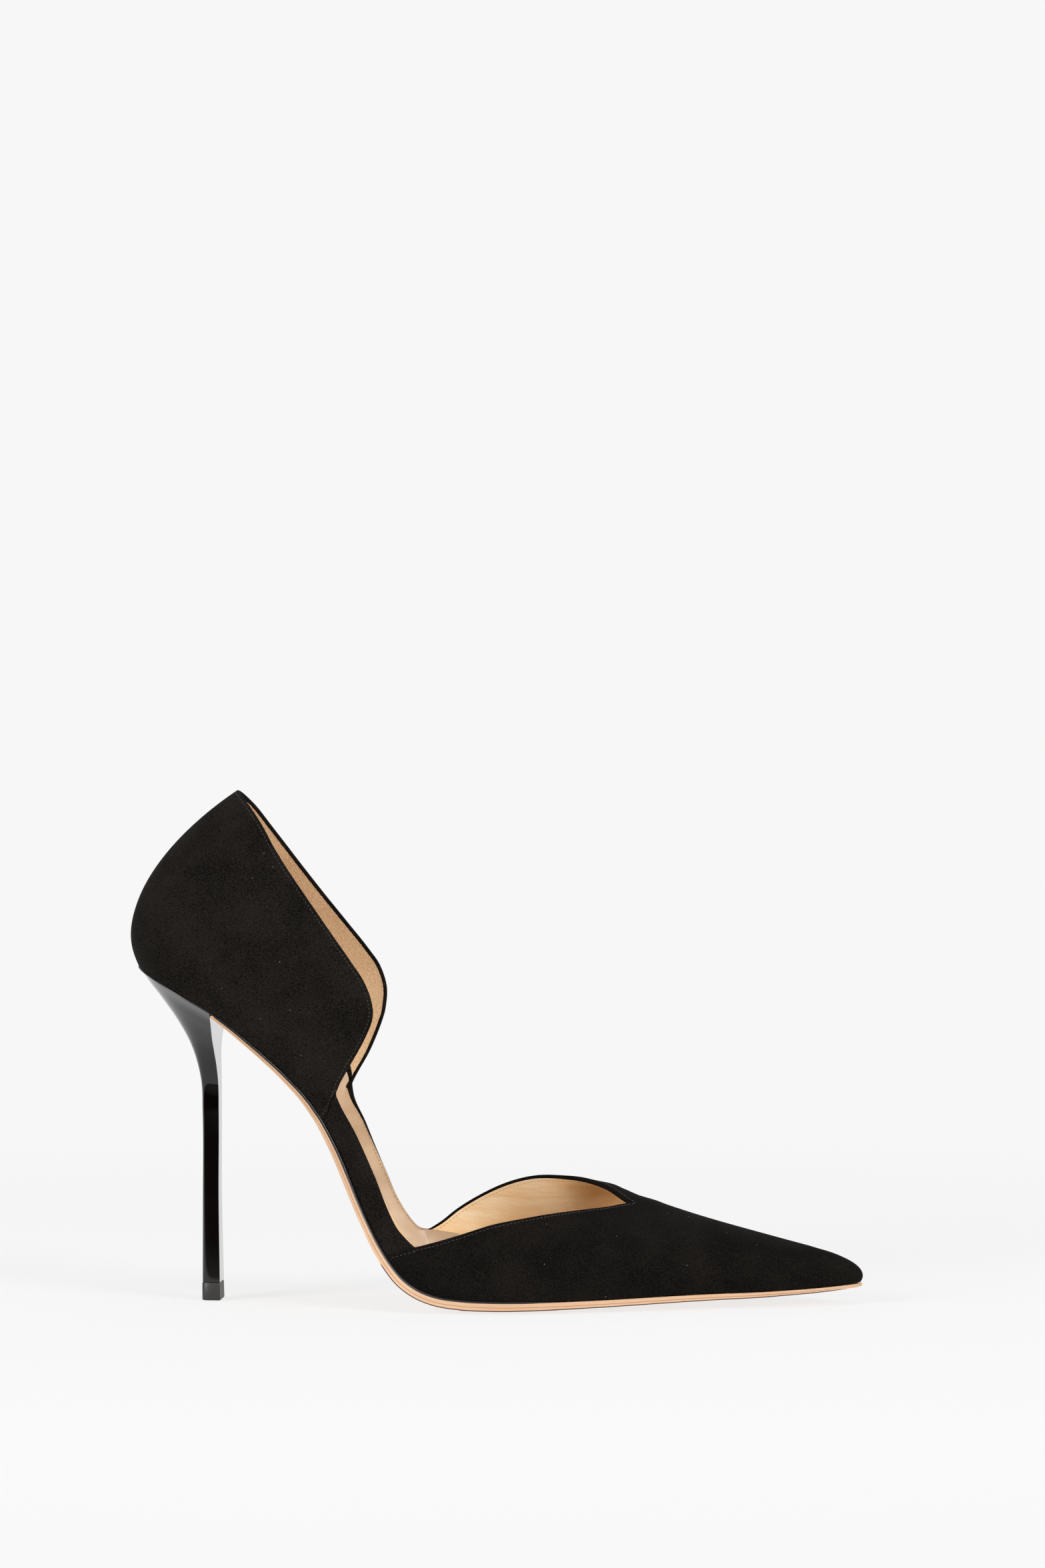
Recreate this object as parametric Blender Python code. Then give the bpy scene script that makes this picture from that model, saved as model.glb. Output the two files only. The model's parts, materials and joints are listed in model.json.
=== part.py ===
"""Black suede dorsay pump for the right foot, on a stiletto heel.

Blender 4.5, metres, +Z up, +X towards the toe, -Y the outer side of the foot.
The last is described by sections from the back of the heel to the toe tip.
Every piece that follows the foot is built from those same sections.
"""

import math
from bisect import bisect_right

import bmesh
import bpy
from mathutils import Vector

MM = 0.001

# Driving sizes, in millimetres. The tables below are for the sample sizes.
SHOE_LENGTH = 241.0
HEEL_HEIGHT = 110.0
BALL_WIDTH = 75.0
INSTEP_HEIGHT = 40.0
SAMPLE_LENGTH = 241.0
SAMPLE_HEEL = 110.0
SAMPLE_BALL = 75.0
SAMPLE_INSTEP = 40.0

# Thicknesses and clearances, in millimetres.
WALL = 1.7
GAP = 0.3
INSOLE_THICKNESS = 2.0
INSOLE_MARGIN = 2.2
SOLE_MARGIN = 0.4
BREAST_GAP = 1.2

# The part's origin on the last: the middle of its length and width, on the floor.
CENTRE_X = -1.15
CENTRE_Y = 0.22

# How finely the sections are filled in.
WALL_STEPS_PER_ROW = 2
SOLE_STEPS_PER_ROW = 1
WALL_STEPS = 9
ACROSS_STEPS = 12
HEEL_AROUND = 24

# Bottom edge of the upper: one row for each section, from the heel to the toe.
# x runs along the shoe, z is the height, outer and inner are the distances
# of the two edges from the long axis.
FOOT = (
    # name, x, z, outer, inner
    ("heel back", -118.8, 110.1, 0.0, 0.0),
    ("heel back curve", -118.0, 109.7, 6.5, 6.5),
    ("heel curve", -115.9, 108.5, 11.8, 11.8),
    ("heel curve side", -112.4, 106.6, 16.2, 16.2),
    ("heel side", -107.5, 103.9, 20.3, 20.2),
    ("heel seat", -100.5, 100.1, 23.6, 23.4),
    ("breast", -92.2, 95.6, 25.2, 24.8),
    ("waist top", -85.5, 90.7, 25.0, 24.2),
    ("upper waist", -79.5, 85.7, 24.4, 23.2),
    ("behind nose", -74.0, 80.9, 23.6, 22.0),
    ("nose rise", -69.5, 76.7, 22.9, 21.1),
    ("nose shoulder", -66.0, 73.2, 22.5, 20.5),
    ("nose", -63.2, 70.3, 22.3, 20.0),
    ("nose turn", -61.0, 67.7, 22.1, 19.7),
    ("under nose", -59.5, 65.8, 22.0, 19.5),
    ("quarter front", -58.2, 63.9, 22.0, 19.3),
    ("quarter foot", -57.1, 62.4, 22.0, 19.2),
    ("quarter seam", -56.0, 60.7, 22.0, 19.2),
    ("strip start", -54.2, 57.5, 22.0, 19.0),
    ("strip", -50.5, 50.3, 22.3, 18.9),
    ("strip waist", -47.2, 42.9, 23.2, 19.0),
    ("strip middle", -43.8, 35.2, 25.2, 19.6),
    ("strip lower", -40.2, 27.9, 27.8, 20.7),
    ("strip foot", -36.3, 21.0, 30.3, 22.3),
    ("strip end", -32.2, 15.1, 32.5, 24.4),
    ("vamp seam", -28.0, 10.6, 34.4, 26.6),
    ("vamp back", -23.2, 7.5, 36.0, 29.0),
    ("behind ball", -17.6, 5.5, 37.1, 31.4),
    ("outer ball", -9.4, 4.3, 37.6, 34.4),
    ("ball", 0.0, 3.8, 37.2, 36.6),
    ("inner ball", 10.0, 3.7, 36.2, 37.6),
    ("throat", 20.0, 3.8, 34.3, 37.6),
    ("throat side", 29.0, 4.0, 32.1, 36.6),
    ("throat front", 37.0, 4.2, 29.8, 34.9),
    ("notch", 44.0, 4.4, 27.4, 32.9),
    ("vamp", 53.0, 4.7, 24.4, 29.8),
    ("front vamp", 63.5, 5.0, 20.9, 25.7),
    ("toe box", 74.5, 5.2, 17.3, 21.2),
    ("toe", 85.5, 5.3, 13.7, 16.7),
    ("toe point", 95.0, 5.6, 10.2, 13.0),
    ("toe taper", 103.0, 5.9, 7.1, 10.2),
    ("toe end", 109.5, 6.3, 4.4, 7.9),
    ("toe end curve", 114.2, 6.6, 2.0, 6.0),
    ("toe tip side", 117.2, 6.8, -0.2, 4.2),
    ("toe tip", 118.6, 7.0, -2.1, 2.1),
)

# Top edge of the upper, the outer side then the inner side, as far as the notch.
OUTER_RIM = (
    # x, z, distance from the long axis
    (-86.0, 168.0, 0.0),
    (-85.3, 167.3, 3.7),
    (-83.4, 165.5, 7.2),
    (-80.1, 161.7, 11.5),
    (-76.1, 156.3, 15.6),
    (-71.5, 148.7, 19.1),
    (-65.5, 139.8, 21.6),
    (-58.5, 129.9, 23.1),
    (-52.0, 120.7, 24.1),
    (-46.1, 112.4, 24.8),
    (-41.8, 105.9, 25.2),
    (-39.4, 99.9, 25.5),
    (-38.8, 94.9, 25.5),
    (-40.1, 90.2, 25.5),
    (-42.9, 84.4, 25.4),
    (-46.6, 78.0, 25.0),
    (-49.7, 72.6, 24.6),
    (-51.2, 69.2, 24.5),
    (-49.5, 65.4, 24.5),
    (-45.0, 57.3, 24.5),
    (-41.5, 50.0, 25.2),
    (-37.7, 41.9, 27.1),
    (-34.5, 34.2, 28.9),
    (-31.0, 27.5, 30.9),
    (-27.8, 23.3, 32.9),
    (-24.6, 21.2, 34.5),
    (-20.8, 21.6, 35.3),
    (-16.3, 23.1, 35.6),
    (-9.0, 25.6, 34.8),
    (0.0, 28.4, 33.0),
    (9.8, 30.2, 29.3),
    (19.5, 31.5, 23.9),
    (28.4, 32.1, 16.9),
    (36.4, 32.4, 8.6),
    (43.2, 32.7, -2.0),
)
INNER_RIM = (
    # x, z, distance from the long axis
    (-86.0, 168.0, 0.0),
    (-85.4, 167.4, 3.7),
    (-83.9, 165.7, 7.2),
    (-81.2, 162.3, 11.8),
    (-77.3, 156.5, 16.4),
    (-72.5, 149.8, 19.7),
    (-66.4, 141.6, 21.6),
    (-59.4, 132.6, 22.6),
    (-52.1, 123.5, 23.5),
    (-45.4, 115.1, 24.0),
    (-41.1, 108.7, 24.0),
    (-39.1, 102.0, 24.0),
    (-39.3, 96.5, 24.0),
    (-40.5, 91.2, 24.0),
    (-42.8, 85.0, 23.6),
    (-45.7, 78.6, 22.9),
    (-48.7, 73.2, 21.7),
    (-50.4, 69.8, 20.8),
    (-49.7, 65.8, 20.1),
    (-46.0, 57.7, 19.6),
    (-42.6, 49.2, 19.9),
    (-39.0, 40.5, 20.9),
    (-35.9, 32.6, 22.6),
    (-32.3, 26.0, 25.2),
    (-28.9, 21.8, 28.0),
    (-25.7, 20.9, 29.6),
    (-21.6, 23.5, 30.5),
    (-16.9, 27.2, 31.2),
    (-9.4, 31.9, 31.3),
    (0.0, 36.5, 29.7),
    (9.8, 39.3, 26.5),
    (19.3, 39.9, 21.8),
    (27.8, 39.4, 15.5),
    (35.6, 37.0, 8.9),
    (43.2, 32.7, 2.0),
)

# Line where the two sides of the closed vamp meet, from the notch to the toe tip.
# tilt, in degrees, is how much the surface still climbs towards the inner side.
CREST = (
    # name, x, y, z, tilt
    ("notch", 43.2, 2.0, 32.7, 27.0),
    ("vamp", 51.5, 2.4, 30.8, 19.5),
    ("front vamp", 61.5, 2.7, 28.6, 11.5),
    ("toe box", 72.0, 2.9, 26.2, 5.0),
    ("toe", 82.0, 3.0, 23.8, 0.0),
    ("toe point", 90.0, 2.9, 21.7, 0.0),
    ("toe taper", 96.5, 2.8, 20.0, 0.0),
    ("toe end", 101.5, 2.7, 18.7, 0.0),
    ("toe end curve", 105.0, 2.5, 17.7, 0.0),
    ("toe tip side", 107.2, 2.3, 17.1, 0.0),
    ("toe tip", 108.2, 2.1, 16.8, 0.0),
)

# How each wall curves. flare turns it out at the foot and lean turns it in at the
# top, in degrees. low and high are how far each turn reaches, as a share of the wall.
CURVE = (
    # name, flare, outer lean, inner lean, low, high
    ("heel back", 56, 30, 30, 0.295, 0.46),
    ("heel curve", 50, 28, 28, 0.29, 0.44),
    ("heel side", 27, 20, 20, 0.33, 0.39),
    ("breast", 14, 14, 13, 0.34, 0.36),
    ("behind nose", 8, 9, 8, 0.34, 0.34),
    ("nose", 6, 4, 3, 0.34, 0.34),
    ("quarter seam", 5, 0, -2, 0.33, 0.33),
    ("strip", 4, 0, -2, 0.33, 0.33),
    ("strip foot", 8, 4, -4, 0.33, 0.33),
    ("vamp seam", 14, 12, 2, 0.35, 0.35),
    ("behind ball", 18, 20, 10, 0.36, 0.36),
    ("ball", 20, 33, 26, 0.38, 0.40),
    ("throat", 20, 50, 46, 0.40, 0.44),
    ("throat front", 20, 63, 99, 0.44, 0.47),
    ("notch", 20, 63, 117, 0.45, 0.46),
    ("front vamp", 20, 77, 103, 0.46, 0.46),
    ("toe", 22, 90, 90, 0.46, 0.46),
    ("toe end", 34, 80, 80, 0.42, 0.46),
    ("toe tip", 44, 74, 74, 0.38, 0.44),
)

# Outsole, from the heel breast to the toe. edge is its thickness at the side,
# and depth is its thickness under the middle of the foot.
SOLE = (
    # name, edge, depth
    ("breast", 0.9, 1.2),
    ("upper waist", 1.1, 2.3),
    ("nose", 1.4, 3.3),
    ("strip", 1.7, 3.9),
    ("strip lower", 2.0, 3.8),
    ("vamp seam", 2.5, 3.6),
    ("behind ball", 2.6, 3.5),
    ("ball", 2.6, 3.5),
    ("throat", 2.3, 3.5),
    ("throat front", 2.1, 3.0),
    ("vamp", 2.0, 2.7),
    ("toe", 1.6, 2.2),
    ("toe end", 1.2, 1.6),
    ("toe tip", 1.0, 1.0),
)

# The heel, from the seat down. Each section has a flat front and a rounded back.
# power squares the back: 2 is round, larger is nearer to a rectangle.
HEEL = (
    # name, front x, front z, back x, back z, half width, power
    ("seat", -92.3, 95.2, -118.2, 109.3, 24.6, 2.05),
    ("seat rim", -92.5, 93.6, -116.4, 106.6, 21.6, 2.1),
    ("cup", -92.8, 90.0, -111.2, 99.8, 16.8, 2.25),
    ("flare", -93.0, 85.8, -105.6, 91.8, 12.2, 2.5),
    ("neck", -92.8, 81.4, -101.7, 84.6, 8.4, 2.8),
    ("lower neck", -92.4, 76.6, -99.4, 77.9, 5.9, 3.2),
    ("stem top", -92.1, 71.2, -98.1, 71.6, 4.3, 4.0),
    ("upper stem", -92.0, 62.0, -97.7, 62.0, 3.9, 5.0),
    ("stem", -92.0, 33.0, -97.6, 33.0, 4.1, 5.0),
    ("stem foot", -91.5, 6.0, -97.6, 6.0, 5.0, 5.0),
)
TOP_PIECE = (
    # name, front x, front z, back x, back z, half width, power
    ("top piece top", -91.5, 5.8, -97.7, 5.8, 5.05, 5.0),
    ("top piece foot", -91.3, 0.0, -97.7, 0.0, 5.1, 5.0),
)

# Flat spot of the tread, where the front of the shoe stands.
TREAD_FLAT = ("outer ball", "throat")


def smooth(stations, values, where):
    """Smooth curve through the values, read at one station."""
    last = len(stations) - 1
    i = min(max(bisect_right(stations, where) - 1, 0), last - 1)

    def slope(k):
        """Direction of the curve at row k, weighted to the nearer neighbour."""
        if k == 0:
            return (values[1] - values[0]) / (stations[1] - stations[0])
        if k == last:
            return (values[k] - values[k - 1]) / (stations[k] - stations[k - 1])
        before = stations[k] - stations[k - 1]
        after = stations[k + 1] - stations[k]
        left = (values[k] - values[k - 1]) / before
        right = (values[k + 1] - values[k]) / after
        return (left * after + right * before) / (before + after)

    span = stations[i + 1] - stations[i]
    f = (where - stations[i]) / span
    a = values[i]
    b = values[i + 1]
    ta = slope(i) * span
    tb = slope(i + 1) * span
    return (a * (2 * f ** 3 - 3 * f ** 2 + 1) + b * (3 * f ** 2 - 2 * f ** 3)
            + ta * (f ** 3 - 2 * f ** 2 + f) + tb * (f ** 3 - f ** 2))


class Last:
    """The shape the shoe is made on, read from the tables at any station."""

    def __init__(self):
        self.along = SHOE_LENGTH / SAMPLE_LENGTH
        self.across = BALL_WIDTH / SAMPLE_BALL
        self.lift = HEEL_HEIGHT / SAMPLE_HEEL
        self.instep = INSTEP_HEIGHT / SAMPLE_INSTEP
        self.names = [row[0] for row in FOOT]
        self.stations = [0.0]
        for a, b in zip(FOOT, FOOT[1:]):
            step = math.dist((a[1], a[2], a[3]), (b[1], b[2], b[3]))
            self.stations.append(self.stations[-1] + step)
        self.end = self.stations[-1]
        self.notch = self.at("notch")
        self.rims = {}
        notch_row = self.names.index("notch")
        for side, rows in ((-1, OUTER_RIM), (1, INNER_RIM)):
            crest = [(row[1], row[3], side * row[2]) for row in CREST[1:]]
            self.rims[side] = list(rows) + crest
            assert len(self.rims[side]) == len(FOOT)
        assert CREST[0][0] == FOOT[notch_row][0]

    def at(self, name):
        """Station of a named section."""
        return self.stations[self.names.index(name)]

    def column(self, rows, index, where):
        """One column of a table that names its sections, read at a station."""
        stations = [self.at(row[0]) for row in rows]
        where = min(max(where, stations[0]), stations[-1])
        return smooth(stations, [row[index] for row in rows], where)

    def height(self, foot_z, rise):
        """Height of a point that stands rise above the bottom of the foot."""
        return foot_z * self.lift + rise * self.instep

    def foot(self, side, where):
        """Point on the bottom edge of the upper."""
        column = 3 if side < 0 else 4
        x = smooth(self.stations, [row[1] for row in FOOT], where)
        z = smooth(self.stations, [row[2] for row in FOOT], where)
        y = smooth(self.stations, [row[column] for row in FOOT], where)
        return Vector((x * self.along, side * y * self.across, z * self.lift))

    def middle(self, where):
        """Point half way across the bottom."""
        return (self.foot(-1, where) + self.foot(1, where)) * 0.5

    def frame(self, side, where):
        """Up from the bottom, and outwards in the plane of the bottom."""
        step = 0.05
        low = max(where - step, 0.0)
        high = min(where + step, self.end)
        run = self.middle(high) - self.middle(low)
        run.y = 0.0
        up = Vector((-run.z, 0.0, run.x)).normalized()
        if low == 0.0:
            out = Vector((-up.z, 0.0, up.x))
        elif high == self.end:
            out = Vector((up.z, 0.0, -up.x))
        else:
            edge = self.foot(side, high) - self.foot(side, low)
            out = edge.cross(up) * -side
            out = (out - up * out.dot(up)).normalized()
        return up, out

    def rim(self, side, where):
        """Point on the top edge of the upper, or on the crest of the vamp."""
        rows = self.rims[side]
        foot_z = smooth(self.stations, [row[2] for row in FOOT], where)
        x, z, y = (smooth(self.stations, [row[i] for row in rows], where)
                   for i in (0, 1, 2))
        return Vector((x * self.along, side * y * self.across,
                       self.height(foot_z, z - foot_z)))

    def wall(self, side, where, share):
        """Point on the outer face of the upper, share of the way up."""
        up, out = self.frame(side, where)
        low_end = self.foot(side, where)
        high_end = self.rim(side, where)
        reach = (high_end - low_end).length
        flare = math.radians(self.column(CURVE, 1, where))
        lean = math.radians(self.column(CURVE, 2 if side < 0 else 3, where))
        low = self.column(CURVE, 4, where) * reach
        high = self.column(CURVE, 5, where) * reach
        start = out * math.sin(flare) + up * math.cos(flare)
        finish = up * math.cos(lean) - out * math.sin(lean)
        if where >= self.notch:
            finish = self.over_crest(side, where, out)
        a = low_end + start * low
        b = high_end - finish * high
        s = share
        r = 1.0 - share
        return (low_end * r ** 3 + a * (3 * r * r * s)
                + b * (3 * r * s * s) + high_end * s ** 3)

    def over_crest(self, side, where, out):
        """Direction of the surface as it reaches the crest from one side."""
        step = 0.4
        low = max(where - step, self.notch)
        high = min(where + step, self.end)
        run = self.rim(side, high) - self.rim(side, low)
        fall = run.z / run.x
        tilt = math.tan(math.radians(self.column(CREST, 4, where)))
        inward = -out
        across = Vector((inward.x, inward.y, 0.0)).normalized()
        across.z = fall * across.x + tilt * across.y
        return across.normalized()


def stations_between(last, first, final, steps):
    """Stations from one section to another, evenly between the named ones."""
    i = last.names.index(first)
    j = last.names.index(final)
    found = []
    for k in range(i, j):
        a = last.stations[k]
        b = last.stations[k + 1]
        found += [a + (b - a) * n / steps for n in range(steps)]
    return found + [last.stations[j]]


def material(name, colour, roughness, coat=0.0):
    """A plain shading material."""
    made = bpy.data.materials.new(name)
    made.use_nodes = True
    shader = made.node_tree.nodes["Principled BSDF"]
    shader.inputs["Base Color"].default_value = (*colour, 1.0)
    shader.inputs["Roughness"].default_value = roughness
    shader.inputs["Coat Weight"].default_value = coat
    return made


def finish_object(name, bm, collection, surface):
    """Turn the mesh outwards, check that it is closed, and add it as an object."""
    bmesh.ops.remove_doubles(bm, verts=bm.verts, dist=0.00002)
    bmesh.ops.recalc_face_normals(bm, faces=bm.faces)
    if bm.calc_volume(signed=True) < 0.0:
        bmesh.ops.reverse_faces(bm, faces=bm.faces)
    assert all(edge.is_manifold for edge in bm.edges), name
    mesh = bpy.data.meshes.new(name)
    bm.to_mesh(mesh)
    bm.free()
    mesh.materials.append(surface)
    made = bpy.data.objects.new(name, mesh)
    collection.objects.link(made)
    return made


def place(point):
    """From millimetres on the last to metres about the part's origin."""
    return Vector((point.x - CENTRE_X, point.y - CENTRE_Y, point.z)) * MM


def build_upper(last, collection, surface):
    """The hollow upper: quarter, side strips and vamp in one wall."""
    where = stations_between(last, "heel back", "toe tip", WALL_STEPS_PER_ROW)
    columns = len(where)
    notch = next(i for i, s in enumerate(where) if s >= last.notch - 1e-6)
    bm = bmesh.new()
    outer = {}
    for side in (-1, 1):
        for i, s in enumerate(where):
            for j in range(WALL_STEPS + 1):
                shared = i in (0, columns - 1) or (j == WALL_STEPS and i >= notch)
                if side > 0 and shared:
                    outer[side, i, j] = outer[-1, i, j]
                    continue
                point = last.wall(side, s, j / WALL_STEPS)
                if i in (0, columns - 1):
                    point = (point + last.wall(1, s, j / WALL_STEPS)) * 0.5
                outer[side, i, j] = bm.verts.new(place(point))
    quads = []
    for side in (-1, 1):
        for i in range(columns - 1):
            for j in range(WALL_STEPS):
                corners = [outer[side, i, j], outer[side, i + 1, j],
                           outer[side, i + 1, j + 1], outer[side, i, j + 1]]
                if side > 0:
                    corners.reverse()
                quads.append(bm.faces.new(corners))
    bm.normal_update()
    skin = list(bm.verts)
    inner = {v: bm.verts.new(v.co - v.normal * WALL * MM) for v in skin}
    for face in quads:
        bm.faces.new([inner[v] for v in reversed(face.verts)])
    for edge in [e for e in bm.edges if len(e.link_faces) == 1]:
        a, b = edge.verts
        if a in inner and b in inner:
            bm.faces.new((a, b, inner[b], inner[a]))
    return finish_object("upper", bm, collection, surface)


def across_points(last, where, margin, lift):
    """Points across the bottom at one station, from the outer to the inner edge."""
    ends = []
    for side in (-1, 1):
        up, out = last.frame(side, where)
        ends.append(last.foot(side, where) - out * margin)
    up = last.frame(1, where)[0]
    if (ends[0] - ends[1]).length < 0.05:
        return [ends[0] + up * lift(1.0, where)] * (ACROSS_STEPS + 1)
    row = []
    for k in range(ACROSS_STEPS + 1):
        share = k / ACROSS_STEPS
        # More points near the two edges than in the middle.
        share = 0.5 - 0.5 * math.cos(math.pi * share)
        point = ends[0].lerp(ends[1], share)
        row.append(point + up * lift(abs(2 * share - 1), where))
    return row


def slab(last, name, where, margin, top, bottom, collection, surface):
    """A closed sheet under the foot between two height functions."""
    bm = bmesh.new()
    upper_rows = []
    lower_rows = []
    for s in where:
        upper_rows.append([bm.verts.new(place(p))
                           for p in across_points(last, s, margin, top)])
        lower_rows.append([bm.verts.new(place(p))
                           for p in across_points(last, s, margin, bottom)])
    count = ACROSS_STEPS
    for a, b in zip(upper_rows, upper_rows[1:]):
        for k in range(count):
            bm.faces.new((a[k], b[k], b[k + 1], a[k + 1]))
    for a, b in zip(lower_rows, lower_rows[1:]):
        for k in range(count):
            bm.faces.new((a[k], a[k + 1], b[k + 1], b[k]))
    for k in (0, count):
        for i in range(len(where) - 1):
            bm.faces.new((upper_rows[i][k], upper_rows[i + 1][k],
                          lower_rows[i + 1][k], lower_rows[i][k]))
    for i in (0, len(where) - 1):
        for k in range(count):
            bm.faces.new((upper_rows[i][k], upper_rows[i][k + 1],
                          lower_rows[i][k + 1], lower_rows[i][k]))
    bmesh.ops.remove_doubles(bm, verts=bm.verts, dist=0.00002)
    bmesh.ops.dissolve_degenerate(bm, edges=bm.edges, dist=0.00001)
    return finish_object(name, bm, collection, surface)


def build_insole(last, collection, surface):
    """The insole that closes the inside of the shoe underneath."""
    where = stations_between(last, "heel back", "toe tip", SOLE_STEPS_PER_ROW)
    return slab(last, "insole", where, INSOLE_MARGIN,
                lambda edge, s: INSOLE_THICKNESS, lambda edge, s: 0.0,
                collection, surface)


def build_outsole(last, collection, surface):
    """The outsole, from the heel breast to the toe, thin at its edge."""
    where = stations_between(last, "breast", "toe tip", SOLE_STEPS_PER_ROW)
    where[0] += BREAST_GAP
    flat_from = last.at(TREAD_FLAT[0])
    flat_to = last.at(TREAD_FLAT[1])

    def bottom(edge, s):
        """Depth under the foot: full in the middle and thin at the side."""
        rim = last.column(SOLE, 1, s)
        deep = last.column(SOLE, 2, s)
        if flat_from <= s <= flat_to and edge < 0.8:
            return -last.middle(s).z
        full = 1.0 - max(0.0, (edge - 0.6) / 0.4) ** 2
        if s < flat_from:
            blend = min(1.0, (flat_from - s) / 30.0)
            full = full * (1.0 - blend) + (1.0 - edge ** 2.5) * blend
        return -GAP - rim - (deep - GAP - rim) * full

    return slab(last, "outsole", where, SOLE_MARGIN,
                lambda edge, s: -GAP, bottom, collection, surface)


def heel_loop(row, drop):
    """One section of the heel: a flat front and a rounded back."""
    name, front_x, front_z, back_x, back_z, half, power = row
    points = []
    count = HEEL_AROUND
    for k in range(count + 1):
        angle = math.pi * k / count
        depth = abs(math.sin(angle)) ** (2.0 / power)
        side = math.copysign(abs(math.cos(angle)) ** (2.0 / power), math.cos(angle))
        points.append(Vector((front_x + (back_x - front_x) * depth, -half * side,
                              front_z + (back_z - front_z) * depth - drop)))
    return points


def loft(name, loops, collection, surface):
    """A closed solid through a stack of loops."""
    bm = bmesh.new()
    rings = [[bm.verts.new(place(p)) for p in loop] for loop in loops]
    for a, b in zip(rings, rings[1:]):
        for k in range(len(a)):
            n = (k + 1) % len(a)
            bm.faces.new((a[k], a[n], b[n], b[k]))
    bm.faces.new(rings[0])
    bm.faces.new(list(reversed(rings[-1])))
    return finish_object(name, bm, collection, surface)


def build_heel(last, collection, surface):
    """The covered heel, from the seat down to the top piece."""
    stations = [0.0]
    for a, b in zip(HEEL, HEEL[1:]):
        stations.append(stations[-1] + math.dist(a[3:5], b[3:5]))
    loops = []
    for i in range(len(HEEL) - 1):
        steps = 3 if i < 6 else 2
        for n in range(steps):
            s = stations[i] + (stations[i + 1] - stations[i]) * n / steps
            values = [smooth(stations, [row[c] for row in HEEL], s)
                      for c in range(1, 7)]
            loops.append(heel_loop(("", *values), 0.0))
    loops.append(heel_loop(HEEL[-1], 0.0))
    return loft("heel", loops, collection, surface)


def build_top_piece(collection, surface):
    """The small wearing piece under the heel."""
    loops = [heel_loop(row, 0.0) for row in TOP_PIECE]
    return loft("heel_top_piece", loops, collection, surface)


def main():
    """Build every solid of the shoe."""
    for old in list(bpy.data.objects):
        bpy.data.objects.remove(old, do_unlink=True)
    collection = bpy.data.collections.new("dorsay_pump")
    bpy.context.scene.collection.children.link(collection)
    suede = material("black suede", (0.012, 0.011, 0.011), 0.95)
    sock = material("tan leather", (0.55, 0.32, 0.16), 0.5)
    sole = material("natural sole leather", (0.50, 0.28, 0.13), 0.45)
    gloss = material("black gloss heel cover", (0.006, 0.006, 0.006), 0.08, 1.0)
    rubber = material("hard black rubber", (0.03, 0.03, 0.03), 0.5)
    last = Last()
    build_upper(last, collection, suede)
    build_insole(last, collection, sock)
    build_outsole(last, collection, sole)
    build_heel(last, collection, gloss)
    build_top_piece(collection, rubber)


main()
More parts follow.
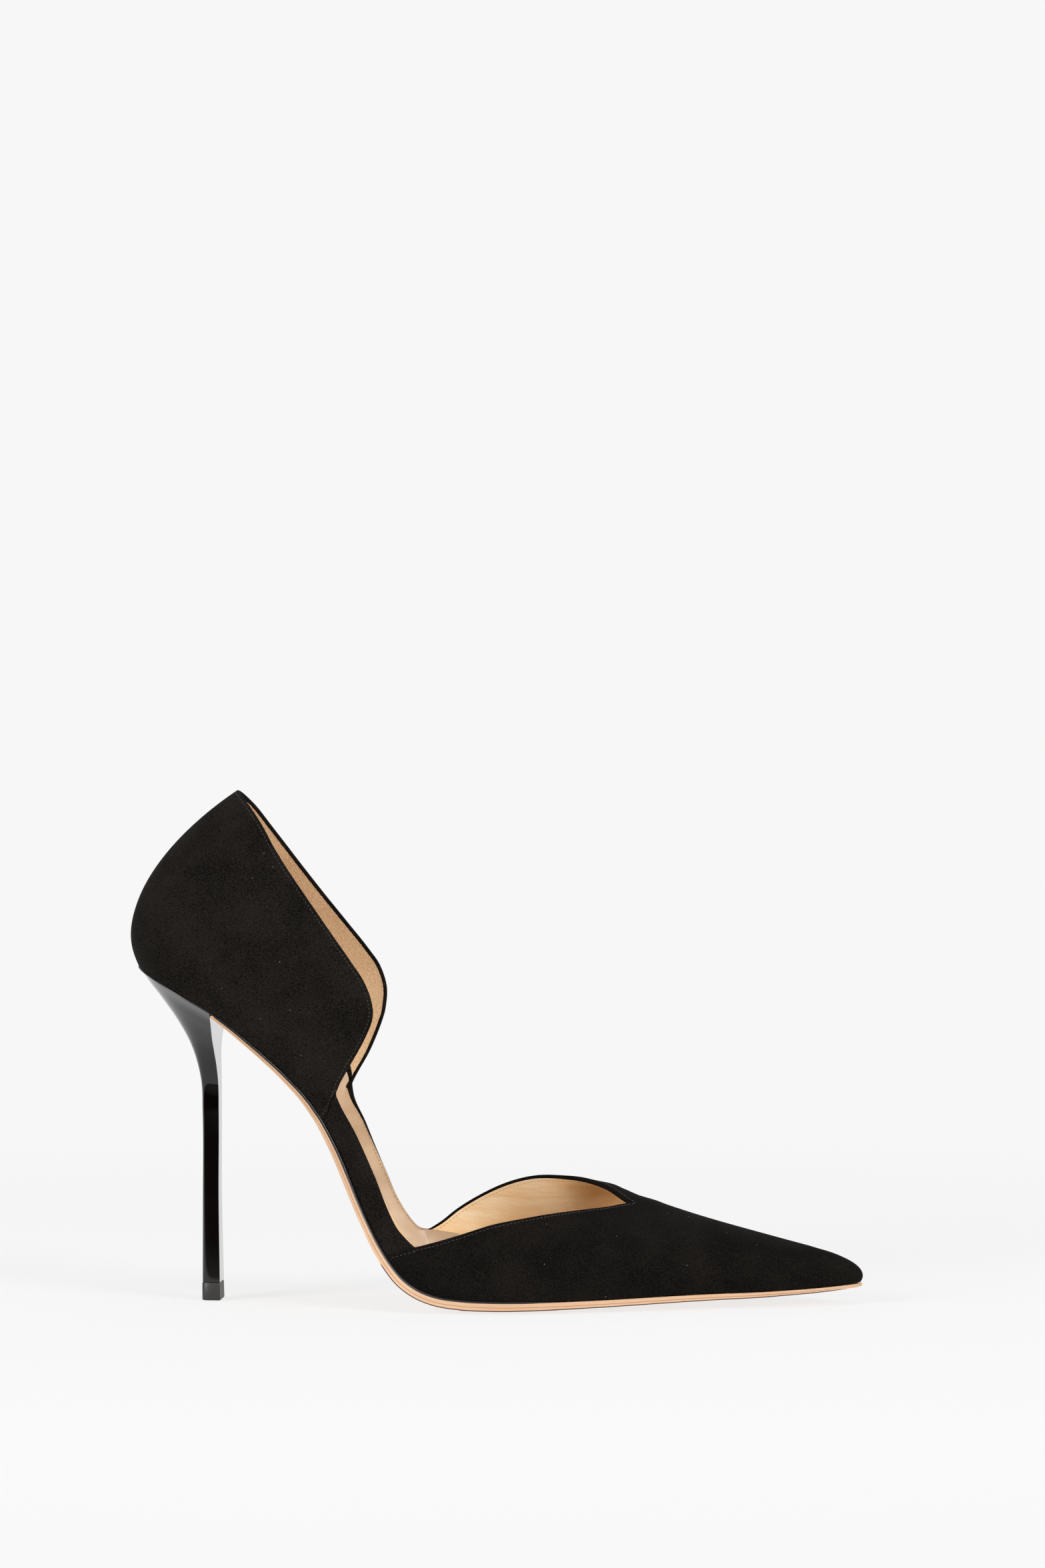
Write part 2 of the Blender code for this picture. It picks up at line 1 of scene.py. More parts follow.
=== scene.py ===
# %% [markdown]
# # A black suede dorsay pump
#
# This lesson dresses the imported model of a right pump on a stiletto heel. The
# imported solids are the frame: they say where every piece is. Each visible piece
# here follows the same last as the solids, only finer, and gets the finish that
# the real piece has.
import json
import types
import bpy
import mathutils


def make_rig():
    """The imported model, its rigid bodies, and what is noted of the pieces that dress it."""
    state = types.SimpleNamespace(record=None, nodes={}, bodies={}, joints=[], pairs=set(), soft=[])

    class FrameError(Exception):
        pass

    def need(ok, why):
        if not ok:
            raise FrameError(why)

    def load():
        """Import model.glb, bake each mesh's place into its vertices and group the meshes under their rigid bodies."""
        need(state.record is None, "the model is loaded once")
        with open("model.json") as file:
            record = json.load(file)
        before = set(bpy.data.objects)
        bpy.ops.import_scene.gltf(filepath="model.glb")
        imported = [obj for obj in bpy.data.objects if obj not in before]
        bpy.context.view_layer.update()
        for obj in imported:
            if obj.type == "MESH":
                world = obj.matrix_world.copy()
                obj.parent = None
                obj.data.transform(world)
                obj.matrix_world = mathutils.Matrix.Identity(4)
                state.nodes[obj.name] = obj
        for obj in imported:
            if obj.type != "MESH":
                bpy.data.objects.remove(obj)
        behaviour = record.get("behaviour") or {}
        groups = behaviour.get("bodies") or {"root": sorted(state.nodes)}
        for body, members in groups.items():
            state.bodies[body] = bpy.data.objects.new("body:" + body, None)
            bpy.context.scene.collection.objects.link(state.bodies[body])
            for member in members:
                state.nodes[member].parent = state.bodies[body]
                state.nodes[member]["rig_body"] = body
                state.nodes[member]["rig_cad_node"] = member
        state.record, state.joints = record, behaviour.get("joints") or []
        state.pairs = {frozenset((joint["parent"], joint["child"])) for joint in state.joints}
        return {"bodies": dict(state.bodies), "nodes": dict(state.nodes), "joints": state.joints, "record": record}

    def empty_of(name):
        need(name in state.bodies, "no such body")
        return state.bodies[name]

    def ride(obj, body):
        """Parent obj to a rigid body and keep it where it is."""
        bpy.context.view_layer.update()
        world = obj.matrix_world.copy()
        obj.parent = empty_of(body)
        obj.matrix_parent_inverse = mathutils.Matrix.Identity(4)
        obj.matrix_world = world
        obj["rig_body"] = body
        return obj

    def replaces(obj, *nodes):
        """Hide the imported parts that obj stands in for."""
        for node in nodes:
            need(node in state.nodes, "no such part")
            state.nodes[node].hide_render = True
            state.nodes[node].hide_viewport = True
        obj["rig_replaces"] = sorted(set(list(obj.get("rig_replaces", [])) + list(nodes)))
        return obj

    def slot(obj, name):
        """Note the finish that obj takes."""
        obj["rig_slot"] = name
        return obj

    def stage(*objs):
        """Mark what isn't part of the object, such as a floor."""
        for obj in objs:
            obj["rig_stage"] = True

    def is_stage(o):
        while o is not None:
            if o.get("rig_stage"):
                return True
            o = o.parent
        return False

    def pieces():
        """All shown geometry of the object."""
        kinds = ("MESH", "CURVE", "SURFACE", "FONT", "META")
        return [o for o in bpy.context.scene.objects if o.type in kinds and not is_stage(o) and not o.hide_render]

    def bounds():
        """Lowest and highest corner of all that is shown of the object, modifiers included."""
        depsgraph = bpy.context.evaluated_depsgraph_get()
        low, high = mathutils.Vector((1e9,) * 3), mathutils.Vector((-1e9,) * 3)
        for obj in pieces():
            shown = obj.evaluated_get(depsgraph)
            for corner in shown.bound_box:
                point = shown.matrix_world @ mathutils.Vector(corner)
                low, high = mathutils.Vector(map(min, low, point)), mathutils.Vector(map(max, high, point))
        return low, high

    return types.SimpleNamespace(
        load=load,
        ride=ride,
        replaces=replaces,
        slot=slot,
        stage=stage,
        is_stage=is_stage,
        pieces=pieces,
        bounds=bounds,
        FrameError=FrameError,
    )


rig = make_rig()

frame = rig.load()
CAD_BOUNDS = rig.bounds()

import json
import math

import bmesh
import bpy
import numpy as np
from mathutils import Vector
from mathutils.kdtree import KDTree

MM = 0.001
print("solids in the frame:", sorted(frame["nodes"]))

# %% [markdown]
# ## The last
#
# A shoe is built on a last, a solid copy of the foot's shape. The tables repeat
# the sections that the solids were made from: the edge of the bottom, the top
# edge on each side, the crest of the closed vamp, and how each wall curves.
# Sizes are in millimetres. Copying a section table is simpler than measuring
# the solids, and the curve between the rows can be read as finely as needed.

# %% Section tables
# Bottom edge: x along the shoe, z height, outer and inner distance from the axis.
FOOT = (
    ("heel back", -118.8, 110.1, 0, 0), ("heel back curve", -118, 109.7, 6.5, 6.5),
    ("heel curve", -115.9, 108.5, 11.8, 11.8),
    ("heel curve side", -112.4, 106.6, 16.2, 16.2),
    ("heel side", -107.5, 103.9, 20.3, 20.2), ("heel seat", -100.5, 100.1, 23.6, 23.4),
    ("breast", -92.2, 95.6, 25.2, 24.8), ("waist top", -85.5, 90.7, 25, 24.2),
    ("upper waist", -79.5, 85.7, 24.4, 23.2), ("behind nose", -74, 80.9, 23.6, 22),
    ("nose rise", -69.5, 76.7, 22.9, 21.1), ("nose shoulder", -66, 73.2, 22.5, 20.5),
    ("nose", -63.2, 70.3, 22.3, 20), ("nose turn", -61, 67.7, 22.1, 19.7),
    ("under nose", -59.5, 65.8, 22, 19.5), ("quarter front", -58.2, 63.9, 22, 19.3),
    ("quarter foot", -57.1, 62.4, 22, 19.2), ("quarter seam", -56, 60.7, 22, 19.2),
    ("strip start", -54.2, 57.5, 22, 19), ("strip", -50.5, 50.3, 22.3, 18.9),
    ("strip waist", -47.2, 42.9, 23.2, 19), ("strip middle", -43.8, 35.2, 25.2, 19.6),
    ("strip lower", -40.2, 27.9, 27.8, 20.7), ("strip foot", -36.3, 21, 30.3, 22.3),
    ("strip end", -32.2, 15.1, 32.5, 24.4), ("vamp seam", -28, 10.6, 34.4, 26.6),
    ("vamp back", -23.2, 7.5, 36, 29), ("behind ball", -17.6, 5.5, 37.1, 31.4),
    ("outer ball", -9.4, 4.3, 37.6, 34.4), ("ball", 0, 3.8, 37.2, 36.6),
    ("inner ball", 10, 3.7, 36.2, 37.6), ("throat", 20, 3.8, 34.3, 37.6),
    ("throat side", 29, 4, 32.1, 36.6), ("throat front", 37, 4.2, 29.8, 34.9),
    ("notch", 44, 4.4, 27.4, 32.9), ("vamp", 53, 4.7, 24.4, 29.8),
    ("front vamp", 63.5, 5, 20.9, 25.7), ("toe box", 74.5, 5.2, 17.3, 21.2),
    ("toe", 85.5, 5.3, 13.7, 16.7), ("toe point", 95, 5.6, 10.2, 13),
    ("toe taper", 103, 5.9, 7.1, 10.2), ("toe end", 109.5, 6.3, 4.4, 7.9),
    ("toe end curve", 114.2, 6.6, 2, 6), ("toe tip side", 117.2, 6.8, -0.2, 4.2),
    ("toe tip", 118.6, 7, -2.1, 2.1),
)
# Top edge of the outer side, then of the inner side: x, z, distance.
OUTER_RIM = (
    (-86, 168, 0), (-85.3, 167.3, 3.7), (-83.4, 165.5, 7.2), (-80.1, 161.7, 11.5),
    (-76.1, 156.3, 15.6), (-71.5, 148.7, 19.1), (-65.5, 139.8, 21.6),
    (-58.5, 129.9, 23.1), (-52, 120.7, 24.1), (-46.1, 112.4, 24.8),
    (-41.8, 105.9, 25.2), (-39.4, 99.9, 25.5), (-38.8, 94.9, 25.5), (-40.1, 90.2, 25.5),
    (-42.9, 84.4, 25.4), (-46.6, 78, 25), (-49.7, 72.6, 24.6), (-51.2, 69.2, 24.5),
    (-49.5, 65.4, 24.5), (-45, 57.3, 24.5), (-41.5, 50, 25.2), (-37.7, 41.9, 27.1),
    (-34.5, 34.2, 28.9), (-31, 27.5, 30.9), (-27.8, 24.0, 32.9), (-24.6, 21.2, 34.5),
    (-20.8, 22.2, 35.3), (-16.3, 23.4, 35.6), (-9, 25.6, 34.8), (0, 28.4, 33),
    (9.8, 30.2, 29.3), (19.5, 31.5, 23.9), (28.4, 32.1, 16.9), (36.4, 32.4, 8.6),
    (43.2, 32.7, -2),
)
INNER_RIM = (
    (-86, 168, 0), (-85.4, 167.4, 3.7), (-83.9, 165.7, 7.2), (-81.2, 162.3, 11.8),
    (-77.3, 156.5, 16.4), (-72.5, 149.8, 19.7), (-66.4, 141.6, 21.6),
    (-59.4, 132.6, 22.6), (-52.1, 123.5, 23.5), (-45.4, 115.1, 24), (-41.1, 108.7, 24),
    (-39.1, 102, 24), (-39.3, 96.5, 24), (-40.5, 91.2, 24), (-42.8, 85, 23.6),
    (-45.7, 78.6, 22.9), (-48.7, 73.2, 21.7), (-50.4, 69.8, 20.8), (-49.7, 65.8, 20.1),
    (-46, 57.7, 19.6), (-42.6, 49.2, 19.9), (-39, 40.5, 20.9), (-35.9, 32.6, 22.6),
    (-32.3, 26, 25.2), (-28.9, 21.8, 28), (-25.7, 20.9, 29.6), (-21.6, 23.5, 30.5),
    (-16.9, 27.2, 31.2), (-9.4, 31.9, 31.3), (0, 36.5, 29.7), (9.8, 39.3, 26.5),
    (19.3, 39.9, 21.8), (27.8, 39.4, 15.5), (35.6, 37, 8.9), (43.2, 32.7, 2),
)
# Crest of the vamp: x, y, z, and how many degrees it climbs to the inner side.
CREST = (
    ("notch", 43.2, 2, 32.7, 27), ("vamp", 51.5, 2.4, 30.8, 19.5),
    ("front vamp", 61.5, 2.7, 28.6, 11.5), ("toe box", 72, 2.9, 26.2, 5),
    ("toe", 82, 3, 23.8, 0), ("toe point", 90, 2.9, 21.7, 0),
    ("toe taper", 96.5, 2.8, 20, 0), ("toe end", 101.5, 2.7, 18.7, 0),
    ("toe end curve", 105, 2.5, 17.7, 0), ("toe tip side", 107.2, 2.3, 17.1, 0),
    ("toe tip", 108.2, 2.1, 16.8, 0),
)
# Wall curve: flare at the foot, lean at the top on each side, reach of each.
CURVE = (
    ("heel back", 56, 30, 30, 0.295, 0.46), ("heel curve", 50, 28, 28, 0.29, 0.44),
    ("heel side", 27, 20, 20, 0.33, 0.39), ("breast", 14, 14, 13, 0.34, 0.36),
    ("behind nose", 8, 9, 8, 0.34, 0.34), ("nose", 6, 4, 3, 0.34, 0.34),
    ("quarter seam", 5, 0, -2, 0.33, 0.33), ("strip", 4, 0, -2, 0.33, 0.33),
    ("strip foot", 8, 4, -4, 0.33, 0.33), ("vamp seam", 14, 12, 2, 0.35, 0.35),
    ("behind ball", 18, 20, 10, 0.36, 0.36), ("ball", 20, 33, 26, 0.38, 0.4),
    ("throat", 20, 50, 46, 0.4, 0.44), ("throat front", 20, 63, 99, 0.44, 0.47),
    ("notch", 20, 63, 105, 0.45, 0.46), ("front vamp", 20, 77, 103, 0.46, 0.46),
    ("toe", 22, 90, 90, 0.46, 0.46), ("toe end", 34, 80, 80, 0.42, 0.46),
    ("toe tip", 44, 74, 74, 0.38, 0.44),
)
# Outsole: thickness at the edge, and depth under the middle.
SOLE = (
    ("breast", 0.9, 1.2), ("upper waist", 1.1, 2.3), ("nose", 1.4, 3.3),
    ("strip", 1.7, 3.9), ("strip lower", 2, 3.8), ("vamp seam", 2.5, 3.6),
    ("behind ball", 2.6, 3.5), ("ball", 2.6, 3.5), ("throat", 2.3, 3.5),
    ("throat front", 2.1, 3), ("vamp", 2, 2.7), ("toe", 1.6, 2.2),
    ("toe end", 1.2, 1.6), ("toe tip", 1, 1),
)
# Heel and its top piece: front x and z, back x and z, half width, squareness.
HEEL = (
    ("seat", -92.3, 95.2, -118.2, 109.3, 24.6, 2.05),
    ("seat rim", -92.5, 93.6, -116.4, 106.6, 21.6, 2.1),
    ("cup", -92.8, 90, -111.2, 99.8, 16.8, 2.25),
    ("flare", -93, 85.8, -105.6, 91.8, 12.2, 2.5),
    ("neck", -92.8, 81.4, -101.7, 84.6, 8.4, 2.8),
    ("lower neck", -92.4, 76.6, -99.4, 77.9, 5.9, 3.2),
    ("stem top", -92.1, 71.2, -98.1, 71.6, 4.3, 4),
    ("upper stem", -92, 62, -97.7, 62, 3.9, 5), ("stem", -92, 33, -97.6, 33, 4.1, 5),
    ("stem foot", -91.5, 6, -97.6, 6, 5, 5),
)
TOP_PIECE = (
    ("top piece top", -91.5, 5.8, -97.7, 5.8, 5.05, 5),
    ("top piece foot", -91.3, 0, -97.7, 0, 5.1, 5),
)
# The frame's origin lies under the middle of the solids' box.
CENTRE_X, CENTRE_Y = -1.15, 0.22
# The solids keep a gap between pieces, and the sole stands out past the upper.
GAP, SOLE_MARGIN = 0.3, 0.4
# The shoe's two sides, as signs and as words for names.
SIDES = ((-1, "outer"), (1, "inner"))
print("sections:", len(FOOT))

# %% [markdown]
# ## Reading the tables smoothly
#
# A smooth curve through a table's rows could be a NURBS curve, but its points
# don't lie on the control points. A cubic that passes through every row, with
# its slope weighted to the nearer neighbour, is what the solids use, so it is
# used here too, on whole arrays at once.


# %% A smooth curve through a table
def smooth(stations, values, where):
    """Cubic through the rows, read at many stations at once."""
    s = np.asarray(stations, float)
    v = np.asarray(values, float)
    step = np.diff(s)
    rise = np.diff(v) / step
    slope = np.empty_like(v)
    slope[0], slope[-1] = rise[0], rise[-1]
    slope[1:-1] = ((rise[:-1] * step[1:] + rise[1:] * step[:-1])
                   / (step[1:] + step[:-1]))
    where = np.atleast_1d(np.asarray(where, float))
    i = np.clip(np.searchsorted(s, where, "right") - 1, 0, len(s) - 2)
    f = (where - s[i]) / step[i]
    return (v[i] * (2 * f ** 3 - 3 * f ** 2 + 1) + v[i + 1] * (3 * f ** 2 - 2 * f ** 3)
            + slope[i] * step[i] * (f ** 3 - 2 * f ** 2 + f)
            + slope[i + 1] * step[i] * (f ** 3 - f ** 2))


def unit(vectors):
    """Vectors scaled to length one."""
    return vectors / np.linalg.norm(vectors, axis=-1, keepdims=True)


# %% Stations along the bottom edge
NAMES = [row[0] for row in FOOT]
STATIONS = np.concatenate([[0.0], np.cumsum(
    [math.dist(a[1:4], b[1:4]) for a, b in zip(FOOT, FOOT[1:])])])
END = STATIONS[-1]


def at(name):
    """Station of a named section."""
    return float(STATIONS[NAMES.index(name)])


def column(rows, index, where):
    """One column of a table whose rows name their sections."""
    stations = [at(row[0]) for row in rows]
    where = np.clip(where, stations[0], stations[-1])
    return smooth(stations, [row[index] for row in rows], where)


NOTCH = at("notch")
print(f"bottom edge: {END:.0f} mm from heel to toe")


# %% Bottom edge, frame and top edge at any station
# A slope is taken over a short look back and ahead, in mm.
LOOK = 0.05


def foot(side, where):
    """Points on the bottom edge of the upper, outer side -1 and inner side 1."""
    x = smooth(STATIONS, [row[1] for row in FOOT], where)
    z = smooth(STATIONS, [row[2] for row in FOOT], where)
    y = smooth(STATIONS, [row[3 if side < 0 else 4] for row in FOOT], where)
    return np.stack([x, side * y, z], -1)


def axes(side, where):
    """Up from the bottom, and outwards in the plane of the bottom."""
    where = np.atleast_1d(np.asarray(where, float))
    low = np.maximum(where - LOOK, 0.0)
    high = np.minimum(where + LOOK, END)
    run = (foot(-1, high) + foot(1, high) - foot(-1, low) - foot(1, low)) / 2
    up = unit(np.stack([-run[:, 2], run[:, 1] * 0, run[:, 0]], -1))
    edge = foot(side, high) - foot(side, low)
    out = np.cross(edge, up) * -side
    out = unit(out - up * np.sum(out * up, -1, keepdims=True))
    back, tip = low == 0.0, high == END
    out[back] = np.stack([-up[back, 2], up[back, 1], up[back, 0]], -1)
    out[tip] = np.stack([up[tip, 2], up[tip, 1], -up[tip, 0]], -1)
    return up, out


RIM_ROWS = {
    side: np.array(list(rows) + [(r[1], r[3], side * r[2]) for r in CREST[1:]])
    for side, rows in ((-1, OUTER_RIM), (1, INNER_RIM))}
CORNERS = [NAMES.index(name) for name in
           ("heel back", "quarter seam", "vamp seam", "toe tip")]


def rim(side, where):
    """Points on the top edge of the upper, then on the crest of the vamp."""
    where = np.atleast_1d(np.asarray(where, float))
    made = np.empty((len(where), 3))
    # The edge turns sharply where panels meet, so each run is its own curve.
    for a, b in zip(CORNERS, CORNERS[1:]):
        here = (where >= STATIONS[a]) & (where <= STATIONS[b])
        rows = slice(a, b + 1)
        made[here] = np.stack([smooth(STATIONS[rows], RIM_ROWS[side][rows, i],
                                      where[here]) for i in (0, 2, 1)], -1)
    made[:, 1] *= side
    return made


# %% [markdown]
# ## The surface of the upper
#
# Each section of the upper is one Bezier curve from the bottom edge to the top
# edge, or to the crest where the vamp closes over the toes. Working out its four
# control points once for many stations makes the whole surface cheap to read.


# %% Control points of every wall section
# Over the first run before the notch, the wall turns to meet the crest, whose
# slope is taken over the second run each way. In mm.
CREST_BLEND, CREST_LOOK = 5.0, 0.4


def wall_controls(side, where):
    """The four control points of the wall at each station."""
    up, out = axes(side, where)
    low_end, high_end = foot(side, where), rim(side, where)
    reach = np.linalg.norm(high_end - low_end, axis=-1)
    flare = np.radians(column(CURVE, 1, where))[:, None]
    lean = np.radians(column(CURVE, 2 if side < 0 else 3, where))[:, None]
    start = out * np.sin(flare) + up * np.cos(flare)
    finish = up * np.cos(lean) - out * np.sin(lean)
    # Past the notch the wall runs over the crest to the other side.
    w = np.clip(where, NOTCH, END)
    low = np.maximum(w - CREST_LOOK, NOTCH)
    high = np.minimum(w + CREST_LOOK, END)
    run = rim(side, high) - rim(side, low)
    tilt = np.tan(np.radians(column(CREST, 4, w)))
    inward = -out
    inward[:, 2] = 0.0
    inward = unit(inward)
    inward[:, 2] = run[:, 2] / run[:, 0] * inward[:, 0] + tilt * inward[:, 1]
    over = np.clip((where - NOTCH + CREST_BLEND) / CREST_BLEND, 0.0, 1.0)[:, None]
    finish = unit(finish * (1.0 - over) + unit(inward) * over)
    a = low_end + start * (column(CURVE, 4, where) * reach)[:, None]
    b = high_end - finish * (column(CURVE, 5, where) * reach)[:, None]
    return np.stack([low_end, a, b, high_end])


FINE = np.unique(np.concatenate([np.linspace(0.0, END, 1500), [NOTCH]]))
CONTROLS = {side: wall_controls(side, FINE) for side in (-1, 1)}
# Both sides share the heel's middle, the toe tip, and the crest.
SHARED = (CONTROLS[-1] + CONTROLS[1]) / 2
for side in (-1, 1):
    CONTROLS[side][:, [0, -1]] = SHARED[:, [0, -1]]
    CONTROLS[side][3, FINE >= NOTCH] = SHARED[3, FINE >= NOTCH]


def wall(side, u, v):
    """Points on the outer face: u along the bottom edge, v from foot to top."""
    u, v = np.broadcast_arrays(np.asarray(u, float), np.asarray(v, float))
    p = [np.stack([np.interp(u, FINE, c[:, k]) for k in range(3)], -1)
         for c in CONTROLS[side]]
    v = v[..., None]
    r = 1.0 - v
    return (p[0] * r ** 3 + p[1] * 3 * r * r * v
            + p[2] * 3 * r * v * v + p[3] * v ** 3)


def wall_normal(side, u, v):
    """Outward normals of the wall, shared where the two sides meet."""
    u, v = np.broadcast_arrays(np.asarray(u, float), np.asarray(v, float))
    joined = ((u <= 0.0) | (u >= END) | ((u >= NOTCH) & (v >= 1.0)))[..., None]
    # The crest and the last section meet head on, so look a little way back.
    u = np.where((v >= 0.98) & (u >= END - 1.0), END - 1.0, u)

    # Slopes are taken over 0.6 mm along and a fiftieth of the height.
    def one(side):
        along = (wall(side, np.minimum(u + 0.3, END), v)
                 - wall(side, np.maximum(u - 0.3, 0.0), v))
        climb = (wall(side, u, np.minimum(v + 0.01, 1.0))
                 - wall(side, u, np.maximum(v - 0.01, 0.0)))
        return unit(np.cross(along, climb) * -side)

    mine, other = one(side), one(-side)
    return unit(np.where(joined, mine + other, mine))


print("control points:", CONTROLS[-1].shape)

# %% [markdown]
# ## Distance from the top edge
#
# Folded edges and stitch rows keep a set distance from the cut edge, all the way
# round the collar and the throat. A tree of points along that edge gives the
# distance of any point on the wall.

# %% A tree of points along the top edge
EDGE_U = np.linspace(0.0, NOTCH, 2600)
EDGE = np.concatenate([rim(-1, EDGE_U)[::-1], rim(1, EDGE_U)[1:]])
EDGE_TREE = KDTree(len(EDGE))
for number, point in enumerate(EDGE):
    EDGE_TREE.insert(point, number)
EDGE_TREE.balance()


def edge_distance(points):
    """Distance of each point from the top edge, in millimetres."""
    found = np.empty(len(points))
    for n, p in enumerate(points):
        k = EDGE_TREE.find(p)[1]
        best = math.inf
        for j in (k - 1, k):
            if 0 <= j < len(EDGE) - 1:
                a, b = EDGE[j], EDGE[j + 1]
                run = b - a
                t = min(max((p - a) @ run / max(run @ run, 1e-12), 0.0), 1.0)
                best = min(best, np.linalg.norm(p - a - t * run))
        found[n] = best
    return found


print(f"top edge: {np.linalg.norm(np.diff(EDGE, axis=0), axis=1).sum():.0f} mm round")

# %% [markdown]
# ## Colours and nodes
#
# Colours are written as sRGB hex, as a picker shows them, and one function turns
# them to the linear values that the shader wants. One more function adds a node
# with its settings and links, so that each material below reads as a list. A
# name such as _2 means the third socket, where several sockets share one label.
# All patterns read the object's own coordinates in millimetres, so their scales
# are real sizes and nothing slides when the view changes.


# %% Helpers for materials
def linear(code):
    """Opaque linear colour from an sRGB hex code."""
    parts = [int(code[i:i + 2], 16) / 255 for i in (0, 2, 4)]
    return (*[c / 12.92 if c <= 0.04045 else ((c + 0.055) / 1.055) ** 2.4
              for c in parts], 1.0)


def node(tree, kind, settings=None, **inputs):
    """Add a node, set its properties, and set or link its inputs."""
    made = tree.nodes.new(kind)
    for name, value in (settings or {}).items():
        setattr(made, name, value)
    for name, value in inputs.items():
        key = int(name[1:]) if name[0] == "_" else name.replace("__", " ")
        socket = made.inputs[key]
        if isinstance(value, bpy.types.NodeSocket):
            tree.links.new(value, socket)
        else:
            socket.default_value = value
    return made


def new_material(name, **values):
    """A material with a Principled shader whose plain values are set directly."""
    made = bpy.data.materials.new(name)
    made.use_nodes = True
    shader = made.node_tree.nodes["Principled BSDF"]
    for key, value in values.items():
        shader.inputs[key.replace("__", " ")].default_value = value
    return made, made.node_tree, shader


# %% [markdown]
# ## Suede
#
# Suede is the flesh side of the hide, buffed to a short nap. The fibres stand
# up, so it has no gloss at all and looks a touch lighter where they catch light
# from the side. Black dye leaves it a warm black. Fine grain, softer patches
# where the nap lies another way, and stray pale fibres make the eye read
# cloth-like depth. A sheen lobe gives the soft edge. Hair could draw each fibre,
# but at this distance noise looks the same and costs nothing.

# %% Black suede
# Real fibres are about 0.05 mm apart, which no pixel here can hold, so the grain
# is drawn coarser. Patches are 14 mm and weigh 0.28 as much as the grain. Of the
# cells of 3.2 mm, about one in four holds a speck 0.3 mm wide.
SUEDE_GRAIN = 0.34
SUEDE_PATCH, PATCH_WEIGHT = 14.0, 0.28
LINT_CELL, LINT_SIZE, LINT_CUT = 3.2, 0.045, 0.72
# Grain and patches together run from dark at the first value to light.
TONE_RANGE = (0.48, 0.84)


def suede_material(name, dark, light, fleck, grain, depth, sheen):
    """Napped leather: mottled base, soft patches, pale lint and fine bump."""
    made, tree, shader = new_material(
        name, Roughness=1.0, Specular__IOR__Level=0.04,
        Sheen__Weight=sheen, Sheen__Roughness=0.5)
    place = node(tree, "ShaderNodeTexCoord").outputs["Object"]
    mm = node(tree, "ShaderNodeVectorMath", {"operation": "SCALE"},
              _0=place, Scale=1.0 / MM).outputs[0]
    fine = node(tree, "ShaderNodeTexNoise", Vector=mm, Scale=1.0 / grain,
                Detail=3.0, Roughness=0.6).outputs["Fac"]
    patch = node(tree, "ShaderNodeTexNoise", Vector=mm, Scale=1.0 / SUEDE_PATCH,
                 Detail=2.0, Roughness=0.5).outputs["Fac"]
    mixed = node(tree, "ShaderNodeMath", {"operation": "MULTIPLY_ADD"},
                 _0=patch, _1=PATCH_WEIGHT, _2=fine).outputs[0]
    share = node(tree, "ShaderNodeMapRange", Value=mixed, _1=TONE_RANGE[0],
                 _2=TONE_RANGE[1]).outputs[0]
    base = node(tree, "ShaderNodeMix", {"data_type": "RGBA"}, Factor=share,
                _6=linear(dark), _7=linear(light)).outputs[2]
    cells = node(tree, "ShaderNodeTexVoronoi", Vector=mm, Scale=1.0 / LINT_CELL)
    speck = node(tree, "ShaderNodeMath", {"operation": "LESS_THAN"},
                 _0=cells.outputs["Distance"], _1=LINT_SIZE).outputs[0]
    chosen = node(tree, "ShaderNodeSeparateColor", _0=cells.outputs["Color"])
    few = node(tree, "ShaderNodeMath", {"operation": "GREATER_THAN"},
               _0=chosen.outputs[0], _1=LINT_CUT).outputs[0]
    lint = node(tree, "ShaderNodeMath", {"operation": "MULTIPLY"},
                _0=speck, _1=few).outputs[0]
    colour = node(tree, "ShaderNodeMix", {"data_type": "RGBA"},
                  Factor=lint, _6=base, _7=linear(fleck)).outputs[2]
    tree.links.new(colour, shader.inputs["Base Color"])
    bump = node(tree, "ShaderNodeBump", Height=fine, Strength=0.5,
                Distance=depth * MM).outputs[0]
    tree.links.new(bump, shader.inputs["Normal"])
    return made


# Quarter and strips: soft warm black that swallows the light.
BLACK_SUEDE = suede_material(
    "black_suede_nap", "030303", "27231F", "77726B", SUEDE_GRAIN, 0.2, 0.01)
# Painted shade: the vamp is a darker copy of the same suede, because its nap, brushed towards the toe, faces away from
# the light.
SHADED_VAMP_SUEDE = suede_material(
    "black_suede_nap_painted_shade", "020202", "1D1A17", "77726B", SUEDE_GRAIN,
    0.2, 0.005)
# Quarter lining: pale napped leather that glows softly and grips the heel.
TAN_SUEDE = suede_material(
    "tan_suede_lining", "CBA67C", "EFD2AE", "FFF4E4", 0.38, 0.25, 0.05)
print("suede grain:", SUEDE_GRAIN, "mm")

# %% [markdown]
# ## Smooth tan leather
#
# The vamp and strips are lined with vegetable-tanned kid leather, finished
# smooth. It is light, warm and slightly glossy, with fine wrinkles where it was
# pulled over the last. Stretched noise stands in for the wrinkles: its axes are
# turned along the pull, which runs forward and down.

# %% Smooth lining leather
# Wrinkles are 3.5 mm apart. Per mm there are 2.4 pores, and clouds of tone are
# 11 mm wide, which is 0.09 per mm.
WRINKLE = 3.5
PORES_PER_MM, CLOUDS_PER_MM = 2.4, 0.09
PULL = (0.0, math.radians(28.0), math.radians(10.0))
# Along the pull all is drawn out nearly threefold. Pores weigh 0.12 of a wrinkle.
STRETCH, PORE_WEIGHT = (0.35, 1.0, 1.6), 0.12
# The middle of the noise is spread over the whole way from dark to light.
CLOUD_RANGE = (0.35, 0.65)
# From the first of these places ahead to the second the toe's lining is darkened by painted shade.
TOE_SHADE_RUN = (14.0, 34.0)


